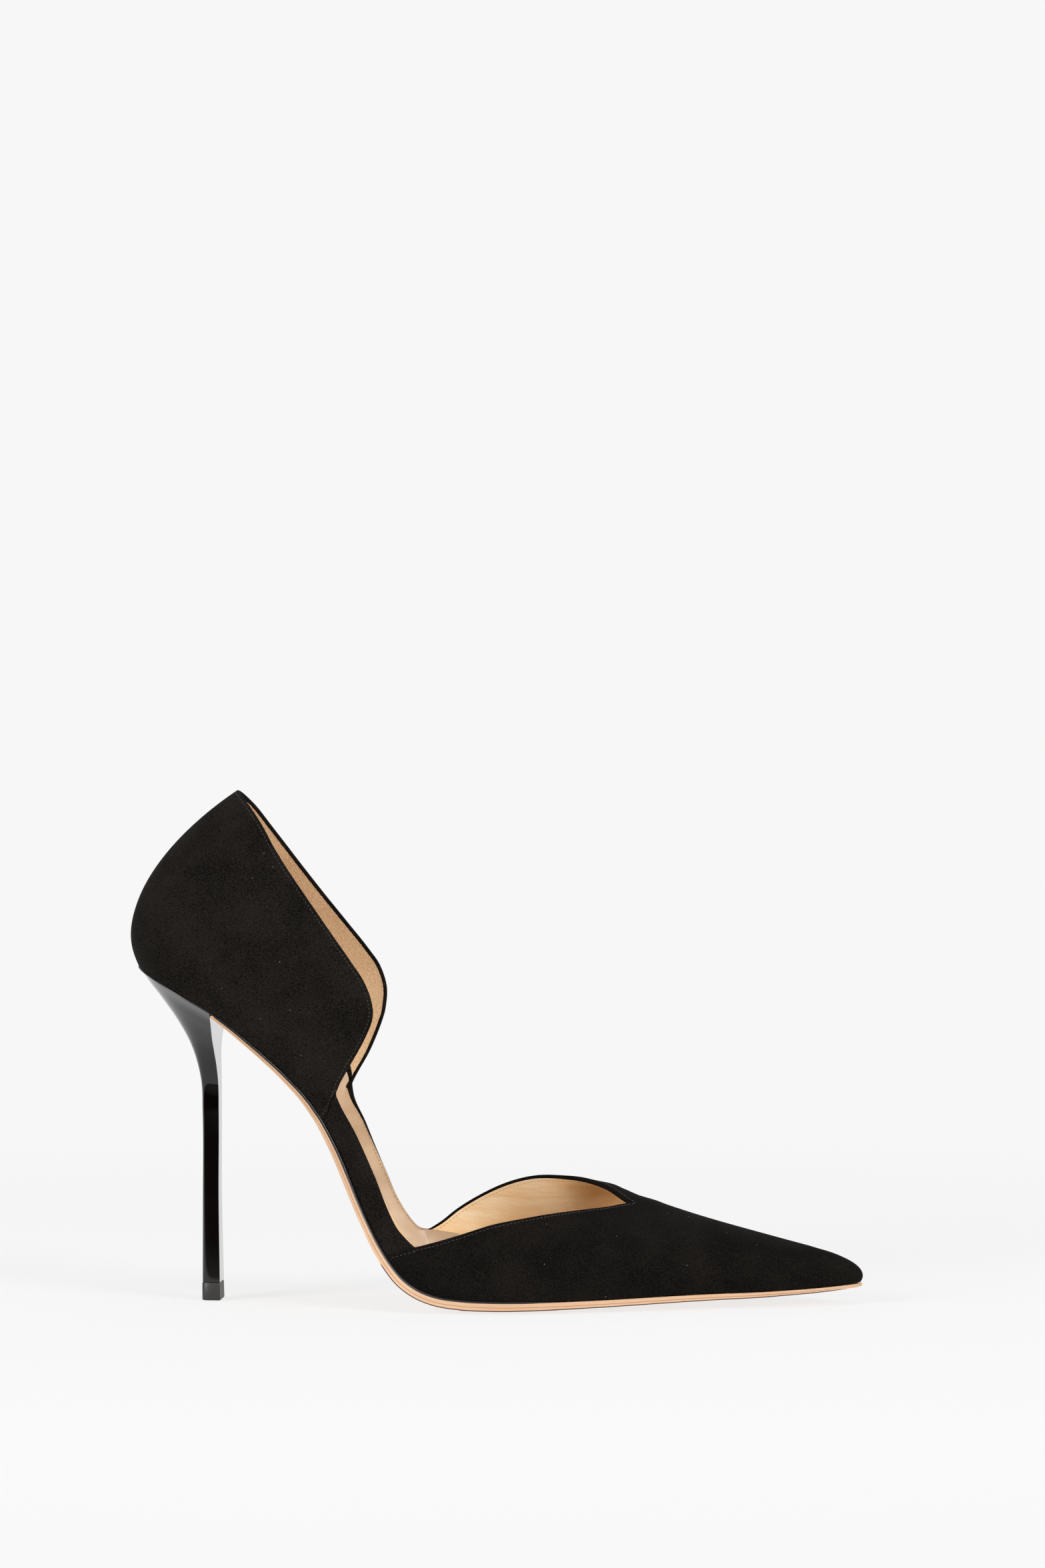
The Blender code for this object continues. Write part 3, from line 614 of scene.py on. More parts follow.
def smooth_leather(name, dark, light, roughness, wrinkle_depth, coat=0.0,
                   shade="FFFFFF"):
    """Smooth finished leather with soft tone, fine wrinkles, and painted shade towards the toe."""
    made, tree, shader = new_material(
        name, Roughness=roughness, Coat__Weight=coat, Coat__Roughness=0.25)
    place = node(tree, "ShaderNodeTexCoord").outputs["Object"]
    mm = node(tree, "ShaderNodeVectorMath", {"operation": "SCALE"},
              _0=place, Scale=1.0 / MM).outputs[0]
    drawn = node(tree, "ShaderNodeMapping", Vector=mm,
                 Rotation=PULL, Scale=STRETCH).outputs[0]
    tone = node(tree, "ShaderNodeTexNoise", Vector=drawn, Scale=CLOUDS_PER_MM,
                Detail=3.0).outputs["Fac"]
    share = node(tree, "ShaderNodeMapRange", Value=tone, _1=CLOUD_RANGE[0],
                 _2=CLOUD_RANGE[1]).outputs[0]
    base = node(tree, "ShaderNodeMix", {"data_type": "RGBA"}, Factor=share,
                _6=linear(dark), _7=linear(light)).outputs[2]
    # Painted shade: deep in the toe little light arrives, so the colour is darkened there.
    ahead = node(tree, "ShaderNodeSeparateXYZ", _0=mm).outputs["X"]
    deep = node(tree, "ShaderNodeMapRange", {"interpolation_type": "SMOOTHSTEP"},
                Value=ahead, _1=TOE_SHADE_RUN[0], _2=TOE_SHADE_RUN[1]).outputs[0]
    colour = node(tree, "ShaderNodeMix", {"data_type": "RGBA",
                                          "blend_type": "MULTIPLY"},
                  Factor=deep, _6=base, _7=linear(shade)).outputs[2]
    tree.links.new(colour, shader.inputs["Base Color"])
    wrinkles = node(tree, "ShaderNodeTexNoise", Vector=drawn,
                    Scale=1.0 / WRINKLE, Detail=5.0, Roughness=0.55,
                    Distortion=0.15).outputs["Fac"]
    pores = node(tree, "ShaderNodeTexNoise", Vector=mm, Scale=PORES_PER_MM,
                 Detail=3.0).outputs["Fac"]
    height = node(tree, "ShaderNodeMath", {"operation": "MULTIPLY_ADD"},
                  _0=pores, _1=PORE_WEIGHT, _2=wrinkles).outputs[0]
    bump = node(tree, "ShaderNodeBump", Height=height, Strength=0.6,
                Distance=wrinkle_depth * MM).outputs[0]
    tree.links.new(bump, shader.inputs["Normal"])
    return made


# Vamp lining: the brightest, warmest surface, seen through the throat. Painted shade darkens it towards the toe.
LINING_LEATHER = smooth_leather(
    "tan_kid_lining", "F8D6A6", "FFF0D2", 0.42, 0.6, shade="CEC1B2")
# Strip lining: cut from a paler skin, almost without wrinkles.
STRIP_LEATHER = smooth_leather(
    "pale_kid_strip_lining", "BFA68A", "CCB498", 0.45, 0.1)
# Sock: smooth and even, because it lies on a board.
SOCK_LEATHER = smooth_leather(
    "tan_kid_sock", "DEBC92", "E4C49B", 0.45, 0.12)

# %% [markdown]
# ## Sole leather, edge ink, heel lacquer and top piece
#
# The outsole is oak-bark tanned cow leather left natural: pale, dense and
# faintly grained, waxed at its edge. The line above it is inked black and hot
# burnished, so it shines. The heel is moulded and lacquered, which gives a
# mirror black whose sides pale only at a grazing angle. The top piece is hard
# black rubber, cut and buffed to a satin.

# %% The hard finishes
# Outsole: a clean pale line that sets the black upper off the floor.
SOLE_LEATHER = smooth_leather(
    "natural_sole_leather", "BE9876", "C6A180", 0.5, 0.05, coat=0.1)
# Ink: a fine black line with a soft highlight.
EDGE_INK = new_material(
    "burnished_black_edge_ink", Base__Color=linear("0B0908"),
    Roughness=0.4, Coat__Weight=0.5, Coat__Roughness=0.3)[0]
# Groove and corner: two hair lines on the sole's edge. The groove makes it read as cut; the dark corner line is
# painted shadow, the contact shadow under the edge.
SOLE_CORNER_SHADOW = new_material(
    "painted_shadow_sole_corner", Base__Color=linear("3A1A0E"), Roughness=0.5)[0]
EDGE_GROOVE = new_material(
    "scorched_sole_edge_groove", Base__Color=linear("A07452"), Roughness=0.6)[0]
# Orange peel is about 2.2 mm from dimple to dimple, buffing marks are 0.4 mm.
PEEL_PER_M, RUBS_PER_M = 450.0, 2500.0


def hard_finish(name, per_m, detail, strength, depth, **values):
    """A plain hard surface with one fine pattern of dimples or marks."""
    made, tree, shader = new_material(name, **values)
    place = node(tree, "ShaderNodeTexCoord").outputs["Object"]
    marks = node(tree, "ShaderNodeTexNoise", Vector=place, Scale=per_m,
                 Detail=detail).outputs["Fac"]
    bump = node(tree, "ShaderNodeBump", Height=marks, Strength=strength,
                Distance=depth * MM).outputs[0]
    tree.links.new(bump, shader.inputs["Normal"])
    return made


def heel_lacquer(name, ior, coat):
    """Mirror black lacquer with the faint orange peel of a sprayed coat."""
    return hard_finish(name, PEEL_PER_M, 1.0, 0.06, 0.03,
                       Base__Color=linear("080605"), Roughness=0.05, IOR=ior,
                       Coat__Weight=coat, Coat__Roughness=0.02)


# Lacquer: deep black on the stem, grey only where it mirrors the pale floor.
HEEL_LACQUER = heel_lacquer("black_heel_lacquer", 1.5, 0.1)
# The flat breast gets a second, polished coat, so it mirrors a little more.
BREAST_LACQUER = heel_lacquer("polished_breast_lacquer", 1.8, 1.0)
# Rubber: a buffed, satin block, greyer than the stem, that ends the heel.
HARD_RUBBER = hard_finish("hard_rubber_top_piece", RUBS_PER_M, 3.0, 0.25, 0.05,
                          Base__Color=linear("1F1D1C"), Roughness=0.5)
print("finishes so far:", len(bpy.data.materials))

# %% [markdown]
# ## Turning grids into pieces
#
# Each panel is a thin sheet with two faces. Both faces are grids of the same
# size. They are joined along their borders, and points that coincide, such as
# those at the folded edge, are merged, which closes the piece.


# %% From grids of points to a closed piece
# A bend sharper than this shows as an edge; all softer bends are shaded round.
SHARP = math.radians(50.0)


def place_points(points):
    """From millimetres on the last to metres in the frame."""
    return (np.asarray(points) - np.array([CENTRE_X, CENTRE_Y, 0.0])) * MM


def sheet_mesh(bm, outer, inner):
    """Add the two faces of one sheet to a mesh, with their borders still open."""
    rows, columns = outer.shape[:2]
    grids = []
    for points in (outer, inner):
        flat = place_points(points.reshape(-1, 3))
        grids.append(np.array([bm.verts.new(p) for p in flat]
                              ).reshape(rows, columns))
    a, b = grids
    for i in range(rows - 1):
        for j in range(columns - 1):
            bm.faces.new((a[i, j], a[i + 1, j], a[i + 1, j + 1], a[i, j + 1]))
            bm.faces.new((b[i, j], b[i, j + 1], b[i + 1, j + 1], b[i + 1, j]))
    return grids


def finish_piece(name, bm, materials, replaced, slot, weld=0.000002):
    """Weld, check, turn outwards, shade smooth, and hand over to the frame."""
    bmesh.ops.remove_doubles(bm, verts=bm.verts, dist=weld)
    border = [e for e in bm.edges if len(e.link_faces) == 1]
    assert not border, f"{name} has {len(border)} open edges"
    bmesh.ops.recalc_face_normals(bm, faces=bm.faces)
    if bm.calc_volume(signed=True) < 0.0:
        bmesh.ops.reverse_faces(bm, faces=bm.faces)
    for face in bm.faces:
        face.smooth = True
    for edge in bm.edges:
        if len(edge.link_faces) == 2 and edge.calc_face_angle(0.0) > SHARP:
            edge.smooth = False
    mesh = bpy.data.meshes.new(name)
    bm.to_mesh(mesh)
    bm.free()
    for finish in materials:
        mesh.materials.append(finish)
    piece = bpy.data.objects.new(name, mesh)
    bpy.context.scene.collection.objects.link(piece)
    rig.ride(piece, "root")
    if replaced:
        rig.replaces(piece, *replaced)
    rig.slot(piece, slot)
    print(f"{name}: {len(mesh.polygons)} faces")
    return piece


def bridge(bm, a, b, edges):
    """Join the borders of two grids: foot, first or last column, top."""
    picks = {"foot": (slice(None), -1), "first": (0, slice(None)),
             "last": (-1, slice(None)), "top": (slice(None), 0)}
    for name in edges:
        p, q = a[picks[name]], b[picks[name]]
        for k in range(len(p) - 1):
            bm.faces.new((p[k], p[k + 1], q[k + 1], q[k]))


# Borders that a sheet joins. A folded sheet's top edge is closed by the weld.
FOLDED = ("foot", "first", "last")
CUT = ("foot", "first", "last", "top")


def sheet_piece(name, outer, inner, joined, finish, replaced, slot):
    """One whole piece from the two faces of a single sheet."""
    bm = bmesh.new()
    bridge(bm, *sheet_mesh(bm, outer, inner), joined)
    return finish_piece(name, bm, [finish], replaced, slot)


# %% [markdown]
# ## Columns and rows of a panel
#
# The collar's front swings far out over a short stretch of the bottom, so
# columns spaced evenly along the bottom would lie far apart at the top. They are
# spaced by whichever edge is longer there. Rows crowd together at the top, at
# set distances from the edge, to round the fold.


# %% Spacing of a panel's columns and rows
# The grid's cell, and the rows that round the fold, all in mm.
CELL = 1.15
FOLD_ROWS = (0.03, 0.15, 0.35)


def spaced(start, finish, cell=CELL):
    """Stations from start to finish, about a cell apart along the longer edge."""
    u = np.linspace(start, finish, 900)
    reach = np.zeros(len(u) - 1)
    for side in (-1, 1):
        for edge in (foot(side, u), rim(side, u)):
            steps = np.linalg.norm(np.diff(edge, axis=0), axis=1)
            reach = np.maximum(reach, steps)
    total = np.concatenate([[0.0], np.cumsum(reach)])
    count = max(4, int(total[-1] / cell))
    return np.interp(np.linspace(0, total[-1], count + 1), total, u)


def rows_by_distance(side, u, distances):
    """For one column: the v at each distance below the top edge."""
    v = np.concatenate([np.linspace(0.0, 0.9, 40), np.linspace(0.903, 1.0, 60)])
    gone = edge_distance(wall(side, np.full(len(v), u), v))[::-1]
    return np.interp(distances, np.maximum.accumulate(gone), v[::-1])


print("grid cell:", CELL, "mm")

# %% [markdown]
# ## The two faces of a panel
#
# The cut edge of the suede is folded in and stuck down, so the top edge is round
# and a band of suede shows inside the shoe before the lining starts. The outer
# face rounds in over the fold, the inner face comes back as the band, and below
# the band only the suede's own thickness is left.

# %% Depths of the outer and inner face
# Whole thickness of each panel, and the width of its folded band inside.
QUARTER_THICK, QUARTER_BAND = 1.25, 1.2
STRIP_THICK, STRIP_LOWER = 1.1, 0.38
VAMP_THICK, VAMP_BAND = 1.6, 0.7


def rounded(gone, thick):
    """How far the fold has rounded in at a distance from the edge."""
    radius = thick / 2
    short = np.clip(radius - gone, 0.0, radius)
    return radius - np.sqrt(radius ** 2 - short ** 2)


def folded_back(gone, thick, band):
    """Depth of the inner face: the band first, then the suede alone."""
    return np.where(gone < band, thick - rounded(gone, thick), thick / 2)


def fold_distances(thick, band):
    """Distances from the edge at which a folded panel has rows."""
    return (0.0, *sorted((*FOLD_ROWS, thick / 2, max(band - 0.05, 0.05),
                          band + 0.1)))


def fade(low, high, value):
    """Smooth step from 0 at low to 1 at high."""
    f = np.clip((value - low) / (high - low), 0.0, 1.0)
    return f * f * (3.0 - 2.0 * f)


print("rows of the vamp's fold:", fold_distances(VAMP_THICK, VAMP_BAND))

# %% [markdown]
# ## Creases and soft places
#
# A last pulls the leather tight, yet not everywhere. Each row below is one soft
# trough or ridge: where it starts and ends, how wide it is and how deep. A cloth
# simulation would put them anywhere; the photo shows a full quarter, a slack
# line from the notch and a flex line at the ball. The same function moves suede
# and lining, so the layers stay together.

# %% Soft troughs and ridges
# Side, start (u, v), end (u, v), width and depth in mm; a ridge is negative.
CREASES = (
    (-1, (28.0, 0.58), (62.0, 0.42), 9.0, -0.25),
    (-1, (50.0, 0.76), (68.0, 0.34), 4.0, 0.14),
    (-1, (226.0, 0.68), (244.0, 0.42), 3.0, 0.12),
    (-1, (206.0, 0.62), (222.0, 0.36), 3.0, 0.10),
    (-1, (174.0, 0.60), (188.0, 0.22), 4.0, 0.15),
    (1, (30.0, 0.56), (60.0, 0.40), 9.0, -0.22),
    (1, (222.0, 0.64), (238.0, 0.38), 3.2, 0.12),
    (1, (180.0, 0.62), (194.0, 0.24), 4.0, 0.14),
)


def crease_depth(side, u, v):
    """Depth of all creases of one side at (u, v), softest at their ends."""
    total = np.zeros(np.broadcast(u, v).shape)
    here = wall(side, u, v)
    for which, begin, end, width, depth in CREASES:
        if which != side:
            continue
        a = wall(side, *begin)
        b = wall(side, *end)
        run = b - a
        t = np.clip((here - a) @ run / (run @ run), 0.0, 1.0)
        away = np.linalg.norm(here - a - t[..., None] * run, axis=-1)
        total += depth * np.exp(-(away / width) ** 2) * np.sin(
            np.pi * (0.1 + 0.8 * t))
    return total


def sunk(side, u, v, depth):
    """Points at a depth under the outer skin."""
    depth = depth + crease_depth(side, u, v)
    return wall(side, u, v) - wall_normal(side, u, v) * depth[..., None]


def gone_from_edge(side, u, v):
    """Distance from the top edge for a whole grid."""
    points = wall(side, u, v)
    gone = edge_distance(points.reshape(-1, 3)).reshape(points.shape[:-1])
    return np.where((v >= 1.0) & (u <= NOTCH), 0.0, gone)


print("creases:", len(CREASES))

# %% A panel's grid of stations
# Ahead of the throat there is no edge: rows even out over about this run, in mm.
EVEN_OUT = 6.0


def panel_rows(side, columns, distances, count):
    """For each column the v of each row: set distances, then even steps down."""
    first = distances(columns[0]) if callable(distances) else distances
    grid = np.empty((len(columns), len(first) + count))
    for n, u in enumerate(columns):
        steps = distances(u) if callable(distances) else distances
        if u > NOTCH and len(steps) > 1:
            top = grid[n - 1, :len(steps)]
            even = 1.0 - np.arange(len(steps)) / (grid.shape[1] - 1)
            pull = min(1.0, (u - columns[n - 1]) / EVEN_OUT)
            near = top * (1.0 - pull) + even * pull
        else:
            near = rows_by_distance(side, u, steps)
        rest = np.linspace(near[-1], 0.0, count + 1)[1:]
        grid[n] = np.concatenate([near, rest])
    return grid


print("fold rows at", FOLD_ROWS, "mm")

# %% [markdown]
# ## Where the panels meet
#
# The quarter is the counter piece round the heel. Its front edge runs from the
# corner of the collar down to the sole. Two narrow strips carry on along the
# sole to the vamp, which laps over them with a nearly level edge. Each panel is
# a separate piece of leather, so each is a separate object.

# %% Panel borders
# The vamp's back edge slants: it meets the sole here, 10 mm behind its top end.
VAMP_FOOT_X = -34.5
SEAM = at("quarter seam")
VAMP_RIM = at("vamp seam")
STRIP_RUN = np.linspace(at("strip start"), VAMP_RIM, 400)
VAMP_FOOT = float(np.interp(VAMP_FOOT_X, foot(-1, STRIP_RUN)[:, 0], STRIP_RUN))
print(f"quarter ends at {SEAM:.1f}, vamp starts at "
      f"{VAMP_FOOT:.1f} (foot) and {VAMP_RIM:.1f} (top)")


def level_line(drop, first, final):
    """Stations and heights of a line at or below the vamp's back edge."""
    u = np.linspace(first, final, 60)
    ends = wall(-1, np.array([VAMP_FOOT, VAMP_RIM]), np.array([0.0, 1.0]))
    share = np.linspace(0.0, 1.0, 120)
    v = []
    for s in u:
        here = wall(-1, np.full(120, s), share)
        goal = np.interp(here[:, 0], ends[:, 0], ends[:, 2]) - drop
        v.append(np.interp(0.0, here[:, 2] - goal, share))
    return u, np.array(v)


BACK_U, BACK_V = level_line(0.0, VAMP_FOOT, VAMP_RIM)


def vamp_start(v):
    """Station of the vamp's back edge at each height."""
    return np.interp(v, BACK_V, BACK_U)


# %% [markdown]
# ## The quarter
#
# One piece of suede wraps the heel from seam to seam. It could be modelled with
# a subdivision surface and a Solidify modifier, but then the fold would follow
# the thickness only roughly. Here both faces are placed from the same section
# curves, so the wall is the same everywhere and the fold is a true half round.

# %% Quarter in suede
# Rows from top edge to bottom edge, besides those at the fold.
WALL_ROWS, STRIP_ROWS = 46, 20


def round_heel(side_grids):
    """Put the grid of the outer side in front of that of the inner side."""
    outer_side, inner_side = side_grids
    return np.concatenate([outer_side[::-1], inner_side[1:]])


def quarter_sheet(depths, distances, count, stop):
    """Two faces round the heel, as arrays of points."""
    faces = [[], []]
    for side in (-1, 1):
        columns = spaced(0.0, stop)
        v = panel_rows(side, columns, distances, count)
        u = np.repeat(columns[:, None], v.shape[1], axis=1)
        gone = gone_from_edge(side, u, v)
        for k in (0, 1):
            faces[k].append(sunk(side, u, v, depths[k](gone)))
    return [round_heel(pair) for pair in faces]


def build_quarter():
    """The suede quarter with its folded collar edge."""
    outer, inner = quarter_sheet(
        (lambda gone: rounded(gone, QUARTER_THICK),
         lambda gone: folded_back(gone, QUARTER_THICK, QUARTER_BAND)),
        fold_distances(QUARTER_THICK, QUARTER_BAND), WALL_ROWS, SEAM)
    return sheet_piece("quarter_suede", outer, inner, FOLDED, BLACK_SUEDE,
                       ("upper",), "suede")


build_quarter()


# %% Quarter lining
def build_quarter_lining():
    """The tan suede lining that starts under the folded band."""
    outer, inner = quarter_sheet(
        (lambda gone: gone * 0.0 + QUARTER_THICK / 2 + 0.05,
         lambda gone: gone * 0.0 + QUARTER_THICK - 0.04),
        (QUARTER_BAND - 0.12,), WALL_ROWS, SEAM + 0.3)
    return sheet_piece("quarter_lining", outer, inner, CUT, TAN_SUEDE, None,
                       "sock_leather")


build_quarter_lining()

# %% [markdown]
# ## The strips
#
# Between quarter and vamp only a low strip is left on each side: that cut-out
# is what makes the shoe a dorsay. The strip lies under both neighbours, so it is
# set a little lower and runs on beneath their edges.

# %% Strips in suede, with their lining
# A strip runs on under both neighbours, and dips as it does. Inside, its lining
# runs on over the vamp's lining until it meets the sole. All in mm.
TUCK, TUCK_DIP, FRONT_RUN = 1.6, 0.3, 14.0
STRIP_INSIDE = STRIP_LOWER + STRIP_THICK


def strip_grid(side, distances, count):
    """Stations of a strip, slanted at the vamp, and how far it is tucked."""
    base = spaced(SEAM - TUCK, VAMP_RIM + TUCK)
    v = panel_rows(side, base, distances, count)
    share = (base[:, None] - SEAM) / (VAMP_RIM - SEAM)
    u = SEAM + share * (vamp_start(v) - SEAM)
    span = vamp_start(v) - SEAM
    into = np.maximum(-share, share - 1.0) * span
    return u, v, fade(0.0, 0.5, into)


def strip_band(u):
    """Width of a strip's folded band: it narrows from quarter to vamp."""
    return float(np.interp(u, (SEAM, SEAM + 8.0, SEAM + 26.0), (1.8, 0.9, 0.1)))


def build_strip(side, name):
    """One suede strip with a folded top edge."""
    u, v, tuck = strip_grid(
        side, lambda s: fold_distances(STRIP_THICK, strip_band(s)), STRIP_ROWS + 2)
    gone = gone_from_edge(side, u, v)
    band = np.vectorize(strip_band)(u)
    low = STRIP_LOWER + tuck * TUCK_DIP
    return sheet_piece(
        name, sunk(side, u, v, low + rounded(gone, STRIP_THICK)),
        sunk(side, u, v, low + folded_back(gone, STRIP_THICK, band)),
        FOLDED, BLACK_SUEDE, ("upper",), "suede")


def straight_top(side, corner, inside, columns):
    """The v where the strip's top edge, carried straight on, meets a section."""
    start = rim(side, corner)[0]
    run = rim(side, corner + inside * 4.0)[0] - start
    run = run * np.sign(run[0])
    across_line = np.array([-run[2], 0.0, run[0]]) / math.hypot(run[0], run[2])
    v = np.linspace(0.0, 1.0, 160)
    tops = []
    for u in columns:
        above = (wall(side, np.full(len(v), u), v) - start) @ across_line
        tops.append(float(np.interp(0.0, np.maximum.accumulate(above), v)))
    return np.array(tops)


def build_strip_lining(side, name):
    """The smooth lining of a strip, which laps over the vamp's lining."""
    ahead = np.linspace(VAMP_RIM, VAMP_RIM + FRONT_RUN, 29)[1:]
    top = straight_top(side, VAMP_RIM, -1, ahead)
    ahead, top = ahead[top > 0.04], top[top > 0.04]
    base = spaced(SEAM, VAMP_RIM)
    v = panel_rows(side, base, lambda s: (max(strip_band(s) - 0.05, 0.05),),
                   STRIP_ROWS)
    falling = np.linspace(1.0, 0.0, STRIP_ROWS + 1)
    v = np.concatenate([v, top[:, None] * falling[None]])
    u = np.repeat(np.concatenate([base, ahead])[:, None], STRIP_ROWS + 1, axis=1)
    over = fade(-1.5, 0.0, u - vamp_start(v)) * (VAMP_THICK + 0.1 - STRIP_INSIDE)
    # A sheet of 0.4 mm whose face stays 0.05 mm behind the folded band.
    return sheet_piece(
        name, sunk(side, u, v, STRIP_INSIDE - 0.45 + over),
        sunk(side, u, v, STRIP_INSIDE - 0.05 + over),
        CUT, STRIP_LEATHER, None, "sock_leather")


for side, word in SIDES:
    build_strip(side, f"strip_{word}")
    build_strip_lining(side, f"strip_{word}_lining")

# %% [markdown]
# ## The strip's back end inside the shoe
#
# Outside, the strip disappears under its neighbours. Inside it is the other way
# round: both ends lie on top of the linings and run straight on for a while. The
# front end is part of the strip's lining above. The back end shows its folded
# band too, and is cut off by the line that carries on from its own top edge.


# %% Back ends of the strips
def build_strip_end(side, name, columns, top, depths, finish, slot, cut=(0.0, 1.0)):
    """A flat end piece between two shares of its height."""
    shares = np.linspace(cut[0], cut[1], 14)
    v = top[:, None] * (1.0 - shares[None])
    u = np.repeat(columns[:, None], v.shape[1], axis=1)
    low, high = (np.broadcast_to(np.asarray(d, float)[..., None], v.shape)
                 for d in depths)
    return sheet_piece(name, sunk(side, u, v, low), sunk(side, u, v, high),
                       CUT, finish, None, slot)


# The end runs 7 mm back from the seam, with 1.9 mm of its fold showing.
BACK_COLUMNS = np.linspace(SEAM - 7.0, SEAM + 0.2, 16)
BACK_BAND = 1.9
for side, word in SIDES:
    top = straight_top(side, SEAM, 1, BACK_COLUMNS)
    tall = np.linalg.norm(wall(side, BACK_COLUMNS, top)
                          - wall(side, BACK_COLUMNS, top * 0), axis=-1)
    share = float(BACK_BAND / tall.mean())
    flat = BACK_COLUMNS * 0.0
    build_strip_end(side, f"strip_{word}_back_band", BACK_COLUMNS, top,
                    (flat + QUARTER_THICK - 0.1, flat + STRIP_INSIDE + 0.02),
                    BLACK_SUEDE, "suede", (0.0, share))
    build_strip_end(side, f"strip_{word}_back_lining", BACK_COLUMNS, top,
                    (flat + QUARTER_THICK - 0.1, flat + STRIP_INSIDE - 0.03),
                    STRIP_LEATHER, "sock_leather", (share * 0.95, 1.0))

# %% [markdown]
# ## The vamp
#
# The vamp is cut in one piece and closes over the toes. Its two halves are
# built on their own side of the last and share the points along the crest and
# round the toe tip, so the weld leaves a whole skin.

# %% Vamp in suede
# The slant of the back edge fades out over this run, in mm.
SLANT_RUN = 30.0


def vamp_grid(side, distances, count, back=0.0, notch=NOTCH):
    """Stations of half a vamp, with its back edge slanted."""
    base = np.unique(np.concatenate([
        spaced(VAMP_RIM + back, notch), spaced(notch, END)]))
    v = panel_rows(side, base, distances, count)
    ahead = base[:, None] - base[0]
    shift = (VAMP_FOOT - VAMP_RIM) * (1.0 - v) * np.clip(
        1.0 - ahead / SLANT_RUN, 0.0, 1.0)
    return base[:, None] + shift, v


def build_vamp():
    """The suede vamp with its folded throat."""
    bm = bmesh.new()
    for side in (-1, 1):
        u, v = vamp_grid(side, fold_distances(VAMP_THICK, VAMP_BAND), WALL_ROWS)
        gone = gone_from_edge(side, u, v)
        grids = sheet_mesh(
            bm, sunk(side, u, v, rounded(gone, VAMP_THICK)),
            sunk(side, u, v, folded_back(gone, VAMP_THICK, VAMP_BAND)))
        bridge(bm, *grids, ("foot", "first"))
    return finish_piece("vamp_suede", bm, [SHADED_VAMP_SUEDE], ("upper",), "suede")


build_vamp()


# %% Vamp lining
def closing(distance):
    """Station where a line kept off the throat's edge closes over the crest."""
    ahead = np.linspace(NOTCH, NOTCH + 6.0, 240)
    gone = edge_distance(wall(-1, ahead, ahead * 0 + 1))
    return float(np.interp(distance, gone, ahead)) + 0.02


def build_vamp_lining():
    """The smooth lining that fills the toe."""
    start = VAMP_BAND - 0.1
    closes = closing(start)
    bm = bmesh.new()
    for side in (-1, 1):
        u, v = vamp_grid(side, (start,), WALL_ROWS, back=-0.5, notch=closes)
        grids = sheet_mesh(
            bm, sunk(side, u, v, np.full(u.shape, VAMP_THICK / 2 + 0.05)),
            sunk(side, u, v, np.full(u.shape, VAMP_THICK - 0.05)))
        bridge(bm, *grids, ("foot", "first"))
        top = [k for k in range(len(u)) if u[k, 0] <= closes + 0.001]
        a, b = grids[0][top, 0], grids[1][top, 0]
        for k in range(len(top) - 1):
            bm.faces.new((a[k], a[k + 1], b[k + 1], b[k]))
    return finish_piece("vamp_lining", bm, [LINING_LEATHER], None, "sock_leather")


build_vamp_lining()

# %% [markdown]
# ## Stitches with Geometry Nodes
#
# A machine stitch repeats hundreds of times along an edge, which is what
# Geometry Nodes are for: a path becomes a curve, the curve is cut into points
# one pitch apart, and a short round-ended thread is set on each, turned along
# the path. No two stitches are quite the same size, by a random value with a
# fixed seed. The result is then turned into a plain mesh.


# %% A stitch row as a node tree
def stitch_tree():
    """Node group: thread pieces along a path, with named inputs."""
    tree = bpy.data.node_groups.new("Stitch row", "GeometryNodeTree")
    face = tree.interface
    face.new_socket("Path", in_out="INPUT", socket_type="NodeSocketGeometry")
    for label, value in (("Pitch", 0.0022), ("Thread", 0.00016), ("Span", 0.0007)):
        face.new_socket(label, in_out="INPUT",
                        socket_type="NodeSocketFloat").default_value = value
    face.new_socket("Finish", in_out="INPUT", socket_type="NodeSocketMaterial")
    face.new_socket("Stitches", in_out="OUTPUT", socket_type="NodeSocketGeometry")
    source = node(tree, "NodeGroupInput").outputs
    curve = node(tree, "GeometryNodeMeshToCurve", _0=source["Path"]).outputs[0]
    cut = node(tree, "GeometryNodeCurveToPoints", {"mode": "LENGTH"},
               Curve=curve, Length=source["Pitch"])
    turn = node(tree, "FunctionNodeAlignRotationToVector", {"axis": "Z"},
                Vector=cut.outputs["Tangent"]).outputs[0]
    ball = node(tree, "GeometryNodeMeshUVSphere", Segments=7, Rings=5,
                Radius=1.0).outputs["Mesh"]
    size = node(tree, "ShaderNodeCombineXYZ", X=source["Thread"],
                Y=source["Thread"], Z=source["Span"]).outputs[0]
    thread = node(tree, "GeometryNodeTransform", Geometry=ball, Scale=size).outputs[0]
    jitter = node(tree, "FunctionNodeRandomValue", {"data_type": "FLOAT"},
                  _2=0.88, _3=1.08, Seed=11).outputs[1]
    laid = node(tree, "GeometryNodeInstanceOnPoints",
                Points=cut.outputs["Points"], Instance=thread,
                Rotation=turn, Scale=jitter).outputs[0]
    real = node(tree, "GeometryNodeRealizeInstances", Geometry=laid).outputs[0]
    done = node(tree, "GeometryNodeSetMaterial", Geometry=real,
                Material=source["Finish"]).outputs[0]
    node(tree, "NodeGroupOutput", Stitches=done)
    return tree


STITCH_TREE = stitch_tree()


